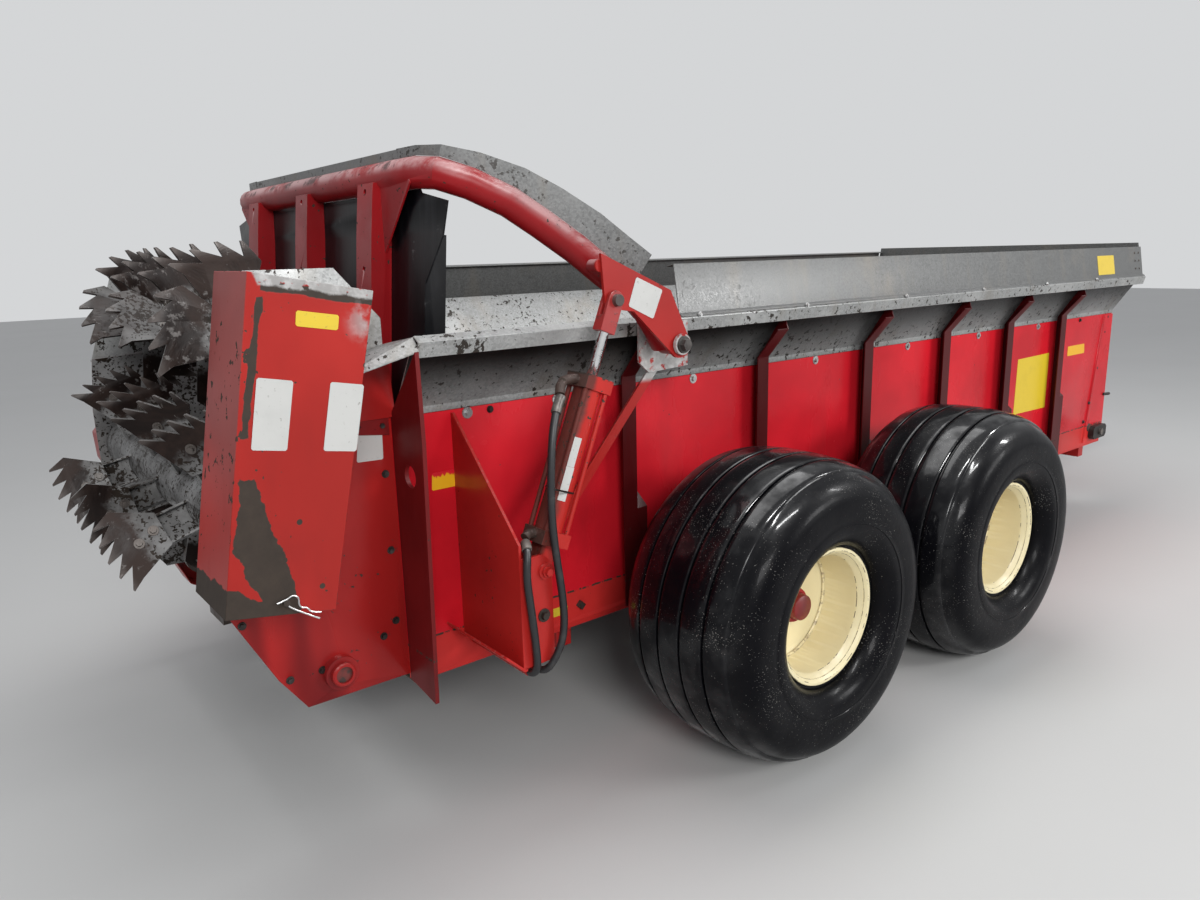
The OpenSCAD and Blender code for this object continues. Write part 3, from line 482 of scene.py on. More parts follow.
def rear_sheet_red():
    """Brick red outside with upright bands of painted shade, scoured speckled steel inside."""
    f = Finish("rear_sheet_red", BRICK, {"Specular IOR Level": 0.25})
    # Painted shade: upright dark bands on the outer face, which also make it rougher.
    band = f.noise(5.5, 2.0, 0.5, f.stretched(1.0, 1.0, 0.12)).rise(0.50, 0.66)
    colour = f.blend(band, (0.37, 0.014, 0.013), (0.17, 0.006, 0.007))
    colour = f.times(colour, f.mixed(f.noise(1.9, 3.0).rise(0.35, 0.7), 0.78, 1.12))
    chips = f.edge * f.noise(26.0, 3.0, 0.6).rise(0.42, 0.55)
    dark = paint_specks(f).rise(0.90, 0.92).most(chips)
    colour = f.blend(dark, colour, BARE_BROWN)
    inner = f.out.rise(INNER_FACE + 0.0030, INNER_FACE + 0.0015)
    colour = f.blend(inner, colour, speckled(f, 0.16, 0.30, 0.55))
    rough = f.mixed(inner, f.mixed(band, 0.26, 0.42) + dark * 0.3, 0.46)
    metallic = f.mixed(inner, 0.0, 0.3)
    return f.use(colour, rough, metallic, height=f.noise(14.0, 2.0) - dark * 0.3, depth=0.0012)


def speckled(f, low, high, splash):
    """Worn steel from low to high, covered in dark specks; more splash gives more of them."""
    cloud = f.noise(6.0, 5.0, 0.65).rise(0.35, 0.70)
    colour = f.blend(cloud, (low, low * 0.97, low * 0.95), (high, high * 0.99, high * 0.98))
    small = f.gathered((85.0, 3.0, 0.6), (9.0, 3.0), 0.4)
    small = small.rise(0.80 - splash * 0.10, 0.85 - splash * 0.10)
    large = f.gathered((26.0, 4.0, 0.65), (4.0, 2.0), 0.5)
    large = large.rise(0.86 - splash * 0.06, 0.90 - splash * 0.06)
    return f.blend(small.most(large), colour, SPLATTER)


def wing_foot(f):
    """The wing's lower edge, painted with the sheet it is bolted to."""
    return f.z.rise(1.232, 1.228) * f.out.rise(0.7675, 0.7690)


def zinc_sheet(name, tone=0.40, under=0.075, splash=0.5, streak=0.4, bloom=0.5, painted=None):
    """Zinc with spangle, white bloom, run marks and splashes on top; underneath it is less metallic and carries a
    painted shade that lightens forwards as a painted reflection.

    tone is the grey above and under the grey of the painted shade below; painted marks a part that is painted red.
    """
    base = (tone, tone * 1.015, tone)
    f = Finish(name, base, {"Specular IOR Level": 0.25})
    grain = f.grain(170.0)
    colour = f.times(f.plain(base), f.mixed(grain, 0.80, 1.16))
    white = f.noise(3.2, 5.0, 0.62).rise(0.46, 0.72)
    colour = f.blend(white * bloom, colour, (tone * 1.7, tone * 1.7, tone * 1.67))
    runs = f.noise(4.5, 4.0, 0.6, f.stretched(2.2, 2.2, 0.25)).rise(0.50, 0.72) * streak
    colour = f.blend(runs, colour, (0.19, 0.165, 0.13))
    tan = f.noise(2.1, 4.0, 0.65).rise(0.56, 0.75) * streak * 0.6
    colour = f.blend(tan, colour, (0.36, 0.28, 0.19))
    spots = f.gathered((46.0, 4.0, 0.62), (5.0, 3.0), 0.30)
    splashes = spots.rise(0.80 - splash * 0.10, 0.84 - splash * 0.09)
    colour = f.blend(splashes * min(1.0, splash * 1.6), colour, SPLATTER)
    # Painted shade: down-facing faces take the dark grey under, lightened forwards in patches by a painted
    # reflection.
    below = f.facing_up.rise(-0.38, -0.52)
    forward = f.x.rise(-0.7, 1.7) * f.noise(1.3, 3.0).rise(0.25, 0.6)
    dull = f.blend(forward, (under, under * 0.93, under * 0.88), (under * 3.4, under * 3.4, under * 3.5))
    colour = f.blend(below, colour, f.times(dull, f.mixed(grain, 0.9, 1.1)))
    metallic = f.mixed(below, 0.25, 0.15)
    if painted:
        share = painted(f)
        red = f.times(f.blend(white, (0.20, 0.008, 0.009), (0.10, 0.004, 0.005)), 1.0 - splashes * 0.8)
        colour = f.blend(share, colour, red)
        metallic = f.mixed(share, metallic, 0.0)
    rough = f.mixed(grain, 0.36, 0.50) + splashes * 0.1
    return f.use(colour, rough, metallic, height=grain * 0.2 + spots * 0.3, depth=0.0006)


def brown_smear(f):
    """Broad smears of dirt on dark steel."""
    return f.noise(6.5, 5.0, 0.65, distortion=0.6).rise(0.38, 0.68)


def beater_steel(name, shaft, paddle_from, reach):
    """Pale speckled drum and arms, dark brown toothed paddles with bright bare edges.

    The paddles start at the radius paddle_from and end at reach.
    """
    f = Finish(name, (0.030, 0.021, 0.018), {"Specular IOR Level": 0.2})
    r = f.from_point(*shaft)
    ragged = f.ragged(0.14, 9.0, 5.0, 0.65)
    smear = brown_smear(f)
    dark = f.blend(smear, (0.009, 0.0048, 0.0038), (0.030, 0.017, 0.013))
    pale = speckled(f, 0.10, 0.25, 0.50)
    level = f.facing_up.rise(0.45, 0.80)
    foot = (r + ragged).rise(paddle_from + 0.02, paddle_from - 0.02)
    colour = f.blend(foot.most(level * 0.85), dark, pale)
    scrape = f.gathered((30.0, 5.0, 0.7, f.stretched(1.0, 3.0, 1.0)), (3.0,), 0.5).rise(0.86, 0.96)
    colour = f.blend(scrape * 0.5, colour, (0.26, 0.245, 0.235))
    bright = f.edge * f.noise(17.0, 2.0).rise(0.34, 0.52)
    colour = f.blend(bright * 0.85, colour, (0.42, 0.40, 0.38))
    tips = (r + ragged * 0.3).rise(reach - 0.035, reach - 0.005)
    colour = f.blend(tips * 0.4, colour, (0.16, 0.14, 0.13))
    rough = f.mixed(smear, 0.34, 0.55) + foot * 0.08
    metallic = f.mixed(foot, 0.15, 0.20)
    return f.use(colour, rough, metallic, height=smear * 0.8 + scrape * 0.3, depth=0.0012)


def dark_steel(name, tone=(0.034, 0.024, 0.020), roughness=0.42, dust=0.6):
    """Brown black steel with pale wear and bright bare edges."""
    f = Finish(name, tone)
    smear = brown_smear(f)
    colour = f.blend(smear, tone, tuple(c * 2.2 for c in tone))
    dusty = f.gathered((9.0, 6.0, 0.72), (2.2, 2.0), 0.5).rise(0.80, 0.98)
    colour = f.blend(dusty * dust, colour, (0.30, 0.28, 0.26))
    bright = f.edge * f.noise(17.0, 2.0).rise(0.36, 0.60)
    colour = f.blend(bright * 0.7, colour, (0.34, 0.32, 0.30))
    rough = f.mixed(smear, roughness - 0.1, roughness + 0.16) + dusty * 0.15
    return f.use(colour, rough, f.mixed(dusty, 0.35, 0.1), height=smear * 0.8, depth=0.0012)


def black_sheet():
    """The gate's smooth black sheet, wet and streaked."""
    f = Finish("gate_black", (0.012, 0.012, 0.014), {"Specular IOR Level": 0.2})
    runs = f.noise(7.0, 4.0, 0.6, f.stretched(1.6, 2.6, 0.35))
    colour = f.blend(runs.rise(0.45, 0.75), (0.002, 0.002, 0.003), (0.011, 0.011, 0.013))
    scuff = f.noise(11.0, 6.0, 0.75).rise(0.60, 0.72) * f.noise(2.6, 2.0).rise(0.48, 0.62)
    colour = f.blend(scuff * 0.8, colour, (0.26, 0.26, 0.26))
    return f.use(colour, f.mixed(runs, 0.22, 0.42) + scuff * 0.3, height=runs, depth=0.0008)


def hose_cover():
    """Rubber hose, dull and dusty."""
    f = Finish("hose_black", (0.014, 0.014, 0.016))
    wrap = f.noise(160.0, 2.0)
    dusty = f.noise(26.0, 4.0, 0.65).rise(0.50, 0.75) * 0.5
    colour = f.blend(dusty, (0.012, 0.012, 0.014), (0.050, 0.046, 0.044))
    return f.use(colour, 0.42 + dusty * 0.3, height=wrap, depth=0.0003)


def tyre_rubber():
    """Black rubber, shiny and wet on the tread, with small pale specks."""
    f = Finish("tyre_rubber", (0.006, 0.006, 0.008),
               {"Specular IOR Level": 0.06, "Coat Roughness": 0.10, "Coat IOR": 1.42})
    cloud = f.noise(3.0, 4.0, 0.6)
    colour = f.blend(cloud.rise(0.35, 0.75), (0.0022, 0.0022, 0.0034), (0.0050, 0.0050, 0.0062))
    specks = f.gathered((240.0, 1.0), (5.0, 3.0), 0.4).rise(0.93, 0.96)
    colour = f.blend(specks * 0.6, colour, (0.30, 0.29, 0.27))
    dust = f.noise(22.0, 5.0, 0.7).rise(0.60, 0.78) * 0.16
    colour = f.blend(dust, colour, (0.050, 0.042, 0.038))
    rough = f.mixed(cloud, 0.26, 0.44) + dust
    puddles = f.mixed(f.noise(7.0, 4.0, 0.6).rise(0.40, 0.62), 0.25, 1.0)
    wet = puddles * f.mixed(f.wheel_radius().rise(0.425, 0.475), 0.10, 1.0)
    return f.use(colour, rough, coat=wet, height=f.noise(26.0, 4.0, 0.6) + specks, depth=0.0012)


def cream_paint():
    """Cream wheel paint with brown grime, chipped lips and a red hub."""
    f = Finish("cream_paint", (0.70, 0.60, 0.36))
    r = f.wheel_radius()
    cloud = f.noise(4.0, 5.0, 0.6)
    colour = f.blend(cloud.rise(0.4, 0.8), (0.80, 0.71, 0.44), (0.74, 0.64, 0.39))
    grime = f.noise(24.0, 5.0, 0.7).rise(0.62, 0.74) * f.noise(3.0, 2.0).rise(0.50, 0.66)
    colour = f.blend(grime * 0.25, colour, (0.30, 0.21, 0.11))
    corner = f.out.near(DISC_FACE, 0.007) * r.near(0.190, 0.012) * f.noise(40.0, 4.0, 0.7).rise(0.46, 0.62)
    colour = f.blend(corner * 0.7, colour, (0.20, 0.13, 0.07))
    hub = r.rise(0.0790, 0.0765)
    hub_red = f.blend(f.noise(9.0, 3.0).rise(0.4, 0.7), (0.22, 0.010, 0.012), (0.12, 0.008, 0.008))
    colour = f.blend(hub, colour, hub_red)
    chip = f.edge * f.noise(30.0, 3.0, 0.6).rise(0.50, 0.58)
    colour = f.blend(chip, colour, (0.075, 0.045, 0.03))
    rough = f.mixed(cloud, 0.34, 0.5) + chip * 0.2
    return f.use(colour, rough, height=cloud * 0.6 - chip * 0.3, depth=0.001)


def bare_metal(name, tone, roughness, rust):
    """Plain scoured or plated metal."""
    f = Finish(name, (tone, tone * 0.98, tone * 0.95))
    cloud = f.noise(30.0, 4.0, 0.6)
    stain = f.noise(55.0, 4.0, 0.65).rise(0.66 - rust * 0.3, 0.78 - rust * 0.3)
    clean = f.blend(cloud, (tone * 0.8,) * 3, (min(tone * 1.2, 0.95),) * 3)
    colour = f.blend(stain * min(1.0, rust * 2.5), clean, (0.10, 0.055, 0.03))
    rough = f.mixed(cloud, roughness - 0.08, roughness + 0.1) + stain * 0.2
    return f.use(colour, rough, f.mixed(stain, 0.9, 0.4), height=cloud, depth=0.0004)


def scoured_floor():
    """The box floor: worn steel under brown stain."""
    f = Finish("floor_steel", (0.13, 0.11, 0.09), {"Specular IOR Level": 0.2})
    steel = speckled(f, 0.10, 0.19, 0.45)
    stain = f.noise(2.6, 5.0, 0.6, f.stretched(0.5, 1.6, 1.0)).rise(0.38, 0.62)
    colour = f.blend(stain * 0.8, steel, (0.075, 0.054, 0.038))
    return f.use(colour, f.mixed(stain, 0.42, 0.60), f.mixed(stain, 0.4, 0.0), height=stain, depth=0.0008)


def shaft_steel():
    """Scoured chain shafts whose ends outside the box are brown with old paint."""
    f = Finish("shaft_steel", (0.30, 0.29, 0.28))
    cloud = f.noise(30.0, 4.0, 0.6)
    end = f.out.rise(WALL_FACE, WALL_FACE + 0.004)
    scoured = f.blend(cloud, (0.16, 0.15, 0.14), (0.34, 0.33, 0.31))
    brown = f.blend(cloud.rise(0.4, 0.6), (0.030, 0.016, 0.012), (0.14, 0.020, 0.016))
    colour = f.blend(end, scoured, brown)
    return f.use(colour, f.mixed(end, 0.36, 0.6), f.mixed(end, 0.8, 0.0), height=cloud, depth=0.0006)


def rod_metal():
    """Chromed rod below, red fork above."""
    f = Finish("rod_chrome", (0.70, 0.70, 0.71))
    fork = f.along_cylinder().rise(cylinder_length - 0.098, cylinder_length - 0.095)
    pin = f.from_point(EYE.x, EYE.z).rise(0.0185, 0.0165)
    grime = f.noise(60.0, 4.0, 0.6).rise(0.55, 0.70)
    chrome = f.blend(f.noise(20.0, 3.0), (0.62, 0.62, 0.63), (0.80, 0.80, 0.80))
    paint = f.blend(grime * 0.8, (0.33, 0.018, 0.016), SPLATTER)
    colour = f.blend(fork, chrome, paint)
    colour = f.blend(pin * fork, colour, (0.045, 0.028, 0.024))
    return f.use(colour, f.mixed(fork, 0.16, 0.42), f.mixed(fork, 1.0, 0.0), height=grime, depth=0.0005)


def barrel_red():
    """Red cylinder, brown towards the rear with oil and painted shade, with dark brown fittings."""
    # The rear half: browned by oil, and darkened by painted shade.
    def oil_and_painted_shade(f):
        return (f.across_cylinder() + f.ragged(0.03, 14.0, 4.0, 0.6)).rise(-0.006, -0.026)

    def fitting(f):
        return f.across_cylinder().rise(-0.0455, -0.049)

    def cap_top(f):
        return f.along_cylinder().near(0.566, 0.012) * f.noise(40.0, 3.0).rise(0.45, 0.55)

    return red_paint("barrel_red", (0.46, 0.022, 0.017), [
        (oil_and_painted_shade, (0.115, 0.022, 0.016), 0.50),
        (fitting, (0.050, 0.030, 0.024), 0.55),
        (cap_top, BARE_BROWN, 0.55),
    ], specks=0.75, chips=0.8)


def vinyl(name, tone, dirt_share=0.6):
    """A blank sticker, dulled and flecked."""
    f = Finish(name, tone)
    dirt = f.noise(90.0, 4.0, 0.65).rise(0.62, 0.74)
    haze = f.noise(9.0, 4.0, 0.6).rise(0.45, 0.75) * 0.30
    colour = f.blend(haze, tone, tuple(c * 0.72 for c in tone))
    colour = f.blend(dirt * dirt_share, colour, (0.12, 0.10, 0.08))
    return f.use(colour, f.mixed(haze, 0.34, 0.5), height=dirt, depth=0.0002)


def torn_yellow():
    """Yellow stripe whose top edge has flaked off to red."""
    f = Finish("stripe_yellow", (0.72, 0.37, 0.012))
    ragged = (f.noise(60.0, 4.0, 0.7, f.stretched(1.0, 1.0, 0.2)) - 0.46) * 0.05
    gone = (f.z + ragged).rise(1.010, 1.014) * f.x.rise(0.0, -0.1)
    colour = f.blend(f.noise(6.0, 3.0), (0.84, 0.46, 0.012), (0.76, 0.40, 0.012))
    colour = f.blend(gone, colour, CRIMSON)
    return f.use(colour, 0.32, height=f.noise(8.0), depth=0.0004)


def floor_paint():
    """The ground's pale grey."""
    f = Finish("floor", (0.55, 0.55, 0.54))
    return f.use(f.blend(f.noise(0.8, 3.0), (0.54, 0.54, 0.53), (0.58, 0.58, 0.57)), 0.60)


# Worn places of the guard, as outlines of (forward, up)
GUARD_STRIPE = [(-2.125, 1.16), (-2.160, 1.16), (-2.190, 0.985), (-2.135, 0.845), (-2.050, 0.790),
                (-2.062, 0.860)]
GUARD_FOOT = [(-2.240, 0.925), (-2.240, 0.80), (-2.010, 0.79), (-2.090, 0.835), (-2.176, 0.905)]
GUARD_REAR_EDGE = [(-2.066, 1.56), (-2.082, 1.56), (-2.150, 1.25), (-2.132, 1.25)]
GUARD_TOP_EDGE = [(-1.80, 1.545), (-2.068, 1.597), (-2.072, 1.572), (-1.81, 1.524)]
GUARD_REAR_STRIP = [(-2.075, 1.58), (-2.10, 1.58), (-2.20, 1.10), (-2.165, 1.10)]
GUARD_CAP = [(-1.79, 1.70), (-2.12, 1.70), (-2.075, 1.585), (-1.80, 1.535)]
GUARD_CHIPS = [(-2.037, 1.034), (-1.998, 0.864), (-2.081, 0.950), (-1.840, 1.385), (-1.835, 1.345)]


def guard_patch(f):
    """The bare stripe down the guard's rear corner, the worn strips along its edges, and a few chips."""
    ragged = f.ragged(0.045, 16.0, 4.0, 0.6)
    stripe = (f.inside(GUARD_STRIPE) + ragged).rise(-0.003, 0.003)
    foot = (f.inside(GUARD_FOOT) + ragged).rise(-0.003, 0.003)
    rear_edge = (f.inside(GUARD_REAR_EDGE) + ragged * 0.5).rise(-0.002, 0.003)
    top_edge = (f.inside(GUARD_TOP_EDGE) + ragged * 0.4).rise(-0.002, 0.003) * 0.8
    dots = f.noise(30.0, 3.0, 0.6).rise(0.61, 0.64)
    dotted = (f.inside(GUARD_REAR_STRIP) + ragged).rise(0.0, 0.01) * dots
    worn = stripe.most(foot).most(rear_edge.most(top_edge)).most(dotted)
    for forward, up in GUARD_CHIPS:
        worn = worn.most(f.from_point(forward, up).rise(0.008, 0.006))
    return worn


def guard_cap(f):
    """The pale rubbed band along the guard's top edge, and a rubbed spot below it."""
    band = (f.inside(GUARD_CAP) + f.ragged(0.05, 22.0, 5.0, 0.7) * 0.4).rise(-0.001, 0.006)
    spot = f.from_point(-1.822, 1.490).rise(0.075, 0.015) * f.noise(18.0, 4.0, 0.6).rise(0.42, 0.60) * 0.7
    return (band * f.noise(60.0, 3.0).rise(0.30, 0.42)).most(spot)


def guard_red():
    """The chain guard, dull on its rear fold."""
    def rear_fold(f):
        return f.facing_front.rise(-0.5, -0.8) * f.z.rise(1.02, 1.30)

    return red_paint("guard_red", (0.41, 0.020, 0.015), [(rear_fold, (0.32, 0.065, 0.060), 0.45)],
                     specks=0.40, patch=guard_patch, pale=guard_cap, roughness=0.32)


def gate_red():
    """Gate frame: dusty on its rear faces, pale pinkish along the arch's upward faces and grimy on the arch,
    brighter on the arm plates.
    """
    def dusty_rear(f):
        return f.facing_front.rise(-0.6, -0.95) * f.noise(3.0, 4.0).rise(0.35, 0.65) * 0.75

    # The arch's upward faces turn pale pinkish in clouds.
    def arch_top_pale(f):
        cloud = f.noise(7.0, 5.0, 0.65, f.stretched(0.5, 1.0, 1.0))
        return f.facing_up.rise(0.0, 0.60) * cloud.rise(0.38, 0.56) * f.z.rise(1.50, 1.58)

    def arch_grime(f):
        cloud = f.noise(11.0, 5.0, 0.7).rise(0.56, 0.66)
        return cloud * f.z.rise(1.60, 1.66) * f.facing_up.rise(0.1, 0.5) * 0.8

    def arm_plates(f):
        return f.out.rise(1.045, 1.050)

    return red_paint("gate_red", (0.30, 0.009, 0.012), [
        (dusty_rear, (0.22, 0.045, 0.048), 0.45),
        (arch_top_pale, (0.50, 0.27, 0.27), 0.28),
        (arch_grime, (0.030, 0.012, 0.011), 0.45),
        (arm_plates, (0.41, 0.018, 0.015), 0.32),
    ], specks=0.55, chips=0.9, dust=0.35)


def bracket_red():
    """Lift bracket, with its hinge plate and brace end rubbed pale."""
    def rubbed(f):
        return f.z.rise(1.225, 1.245) * f.noise(24.0, 4.0, 0.65).rise(0.36, 0.46)

    return red_paint("bracket_red", (0.40, 0.018, 0.015), specks=0.45, chips=0.85, pale=rubbed)


# Mesh helpers

# A broken corner's width, and the least angle in degrees between two faces that meet in a corner
EDGE_WIDTH = 0.0012
EDGE_DEGREES = 32


def add_piece(mesh, body, finish, stands_for=()):
    """Puts a finished mesh into the scene.

    It has no body where none is given, and no finish where the mesh brings its own.
    """
    piece = bpy.data.objects.new(mesh.name, mesh)
    bpy.context.scene.collection.objects.link(piece)
    if finish:
        mesh.materials.clear()
        mesh.materials.append(finish)
    if body:
        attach(piece, body)
    if stands_for:
        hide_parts(*stands_for)
    return piece


def mesh_from(name, points, faces, smooth=None):
    """A closed mesh from points and faces, with its normals outwards."""
    mesh = bpy.data.meshes.new(name)
    mesh.from_pydata([tuple(p) for p in points], [], faces)
    close_up(mesh)
    if smooth is not None:
        shade(mesh, smooth)
    return mesh


def close_up(mesh):
    """Merges doubled points and turns all faces outwards."""
    work = bmesh.new()
    work.from_mesh(mesh)
    bmesh.ops.remove_doubles(work, verts=work.verts, dist=1e-6)
    bmesh.ops.recalc_face_normals(work, faces=work.faces)
    work.to_mesh(mesh)
    work.free()


def shade(mesh, degrees):
    """Smooth over corners flatter than the given angle, sharp over the others."""
    mesh.polygons.foreach_set("use_smooth", [True] * len(mesh.polygons))
    mesh.set_sharp_from_angle(angle=math.radians(degrees))


def joined(name, meshes):
    """Several meshes as one; each keeps its place in the list of materials."""
    work = bmesh.new()
    for i, mesh in enumerate(meshes):
        before = len(work.faces)
        work.from_mesh(mesh)
        work.faces.ensure_lookup_table()
        for face in work.faces[before:]:
            face.material_index = i
        bpy.data.meshes.remove(mesh)
    made = bpy.data.meshes.new(name)
    work.to_mesh(made)
    work.free()
    return made


def dressed(node, finish):
    """A CAD piece with its corners broken; the attribute edge marks the broken corners."""
    mesh = frame["nodes"][node].data.copy()
    mesh.name = node + "_skin"
    work = bmesh.new()
    work.from_mesh(mesh)
    bmesh.ops.remove_doubles(work, verts=work.verts, dist=1e-5)
    bmesh.ops.dissolve_limit(work, angle_limit=math.radians(0.5), verts=work.verts, edges=work.edges)
    corner = math.radians(EDGE_DEGREES)
    sharp = [e for e in work.edges if e.is_manifold and e.calc_face_angle(0) > corner]
    mark = work.faces.layers.float.new("edge")
    made = bmesh.ops.bevel(work, geom=sharp, offset=EDGE_WIDTH, offset_type="OFFSET", segments=1,
                           profile=0.5, affect="EDGES", clamp_overlap=True)
    for face in made["faces"]:
        face[mark] = 1.0
    work.to_mesh(mesh)
    work.free()
    shade(mesh, EDGE_DEGREES)
    add_piece(mesh, body_of_node[node], finish, [node])


def swept_faces(sections, size, closed):
    """Faces between neighbouring sections of a sweep, where each section is a loop of size points."""
    faces = []
    for i in range(sections if closed else sections - 1):
        here, there = i * size, (i + 1) % sections * size
        for k in range(size):
            n = (k + 1) % size
            faces.append((here + k, here + n, there + n, there + k))
    return faces


def lathe(name, centre, side, profile, steps, smooth):
    """A closed profile of (radius, outwards) turned about a line across the machine, for one side of it."""
    points = []
    for i in range(steps):
        angle = 2 * math.pi * i / steps
        for radius, out in profile:
            points.append(centre + Vector((radius * math.cos(angle), side * out, radius * math.sin(angle))))
    return mesh_from(name, points, swept_faces(steps, len(profile), True), smooth)


def bent_bar(name, points, radius, round_steps=4, smooth_line=True):
    """A round bar along a line of points, with closed ends."""
    curve = bpy.data.curves.new(name, "CURVE")
    curve.dimensions = "3D"
    curve.bevel_depth = radius
    curve.bevel_resolution = round_steps
    curve.use_fill_caps = True
    curve.resolution_u = 6
    line = curve.splines.new("NURBS" if smooth_line else "POLY")
    line.points.add(len(points) - 1)
    for point, place in zip(line.points, points):
        point.co = (*place, 1)
    if smooth_line:
        line.order_u = 4
        line.use_endpoint_u = True
    holder = bpy.data.objects.new(name + "_holder", curve)
    bpy.context.scene.collection.objects.link(holder)
    graph = bpy.context.evaluated_depsgraph_get()
    mesh = bpy.data.meshes.new_from_object(holder.evaluated_get(graph), depsgraph=graph)
    bpy.data.objects.remove(holder)
    bpy.data.curves.remove(curve)
    mesh.name = name
    close_up(mesh)
    shade(mesh, 45)
    return mesh


def slab(name, corners, outward, thick, lift=0.0002, cut=0.0):
    """A flat plate on a face: corners go round it, outward points off the face, cut trims each corner."""
    corners = [Vector(c) for c in corners]
    outward = Vector(outward).normalized()
    rim = []
    for i, corner in enumerate(corners):
        if not cut:
            rim.append(corner)
            continue
        for other in (corners[i - 1], corners[(i + 1) % len(corners)]):
            rim.append(corner + (other - corner).normalized() * cut)
    n = len(rim)
    points = [p + outward * lift for p in rim] + [p + outward * (lift + thick) for p in rim]
    faces = [tuple(range(n)), tuple(range(2 * n - 1, n - 1, -1))]
    faces += [(i, (i + 1) % n, n + (i + 1) % n, n + i) for i in range(n)]
    return mesh_from(name, points, faces)


def side_slab(name, outline, out, side, thick, cut=0.0):
    """A plate on a side of the machine: its outline as (forward, up), how far out it lies, and the side."""
    corners = [at(x, side * out, z) for x, z in outline]
    return slab(name, corners, (0, side, 0), thick, cut=cut)


def on_wall(x, z, side):
    """A bolt's place on the side sheet."""
    return at(x, side * (WALL_FACE + PROUD), z)


def on_board(x, z, side):
    """A place on the side board's leaning face."""
    return at(x, side * (BOARD_FOOT_OUT - BOARD_LEAN * (z - BOARD_FOOT_UP)), z)


def on_cylinder(side, along, forward, out):
    """A place by a lift cylinder: along it from its base pin, then forward and out from its middle line."""
    pin = at(BASE.x, side * CYL_OUT, BASE.z)
    return pin + cylinder_run * along + cylinder_square * forward + Vector((0, side * out, 0))


# Geometry Nodes


def new_tree(name, sizes):
    """A node tree with its named inputs, a finish and one mesh in and out."""
    tree = bpy.data.node_groups.new(name, "GeometryNodeTree")
    tree.interface.new_socket("Geometry", in_out="INPUT", socket_type="NodeSocketGeometry")
    for key, value in sizes.items():
        kind = "NodeSocketInt" if isinstance(value, int) else "NodeSocketFloat"
        tree.interface.new_socket(key, in_out="INPUT", socket_type=kind).default_value = value
    tree.interface.new_socket("Finish", in_out="INPUT", socket_type="NodeSocketMaterial")
    tree.interface.new_socket("Geometry", in_out="OUTPUT", socket_type="NodeSocketGeometry")
    return tree, tree.nodes.new("NodeGroupInput")


def close_tree(tree, given, instances):
    """Ends a tree: instances made real, painted and handed out."""
    add, link = tree.nodes.new, tree.links.new
    real = add("GeometryNodeRealizeInstances")
    link(instances, real.inputs[0])
    paint = add("GeometryNodeSetMaterial")
    link(real.outputs[0], paint.inputs["Geometry"])
    link(given.outputs["Finish"], paint.inputs["Material"])
    link(paint.outputs[0], add("NodeGroupOutput").inputs[0])
    return tree


def stud_tree():
    """Puts one turned stud on each point, along the point's facing."""
    tree, given = new_tree("studs", {"Radius": 0.01, "Top radius": 0.008, "Height": 0.006, "Sides": 6})
    add, link = tree.nodes.new, tree.links.new
    cone = add("GeometryNodeMeshCone")
    for key, socket in (("Sides", "Vertices"), ("Radius", "Radius Bottom"), ("Top radius", "Radius Top"),
                        ("Height", "Depth")):
        link(given.outputs[key], cone.inputs[socket])
    facing = add("GeometryNodeInputNamedAttribute")
    facing.data_type = "FLOAT_VECTOR"
    facing.inputs["Name"].default_value = "facing"
    turn = add("FunctionNodeAlignRotationToVector")
    turn.axis = "Z"
    link(facing.outputs[0], turn.inputs["Vector"])
    place = add("GeometryNodeInstanceOnPoints")
    link(given.outputs["Geometry"], place.inputs["Points"])
    link(cone.outputs["Mesh"], place.inputs["Instance"])
    link(turn.outputs[0], place.inputs["Rotation"])
    return close_tree(tree, given, place.outputs[0])


def grown(name, holder_mesh, tree, settings):
    """The mesh that a tree makes of a holder mesh."""
    holder = bpy.data.objects.new(name + "_holder", holder_mesh)
    bpy.context.scene.collection.objects.link(holder)
    grow = holder.modifiers.new("grow", "NODES")
    grow.node_group = tree
    for item in tree.interface.items_tree:
        if item.in_out == "INPUT" and item.name in settings:
            grow[item.identifier] = settings[item.name]
    graph = bpy.context.evaluated_depsgraph_get()
    made = bpy.data.meshes.new_from_object(holder.evaluated_get(graph), depsgraph=graph)
    made.name = name
    holder.modifiers.clear()
    bpy.data.objects.remove(holder)
    bpy.data.meshes.remove(holder_mesh)
    return made


STUDS = stud_tree()
# The least angle in degrees between two faces of a stud that stays a sharp corner
STUD_DEGREES = 35


def studs(name, spots, radius, height, finish, sides, taper):
    """One stud on each (place, facing); its top's radius is taper times the radius of its foot."""
    mesh = bpy.data.meshes.new(name)
    mesh.from_pydata([tuple(p) for p, _ in spots], [], [])
    facing = mesh.attributes.new("facing", "FLOAT_VECTOR", "POINT")
    facing.data.foreach_set("vector", [v for _, n in spots for v in n])
    settings = {"Radius": radius, "Top radius": radius * taper, "Height": height, "Sides": sides,
                "Finish": finish}
    return grown(name, mesh, STUDS, settings)


def stud_piece(name, spots, radius, height, finish, sides, taper):
    """Rivets or plain heads on the box, as one piece."""
    mesh = studs(name, spots, radius, height, finish, sides, taper)
    shade(mesh, STUD_DEGREES)
    add_piece(mesh, "root", None)


def bolts(name, spots, body, finish, washer, size, wide=1.55):
    """Hexagon bolt heads of a size on washers that are wide times that, all in one piece."""
    thick = size * 0.25
    plates = studs(name + "_washers", spots, size * wide, thick, washer, 20, 0.95)
    lifted = [(p + Vector(n) * thick, n) for p, n in spots]
    heads = studs(name + "_heads", lifted, size, size * 0.75, finish, 6, 0.90)
    mesh = joined(name, [plates, heads])
    mesh.materials.clear()
    mesh.materials.append(washer)
    mesh.materials.append(finish)
    shade(mesh, STUD_DEGREES)
    add_piece(mesh, body, None)


# Wheels

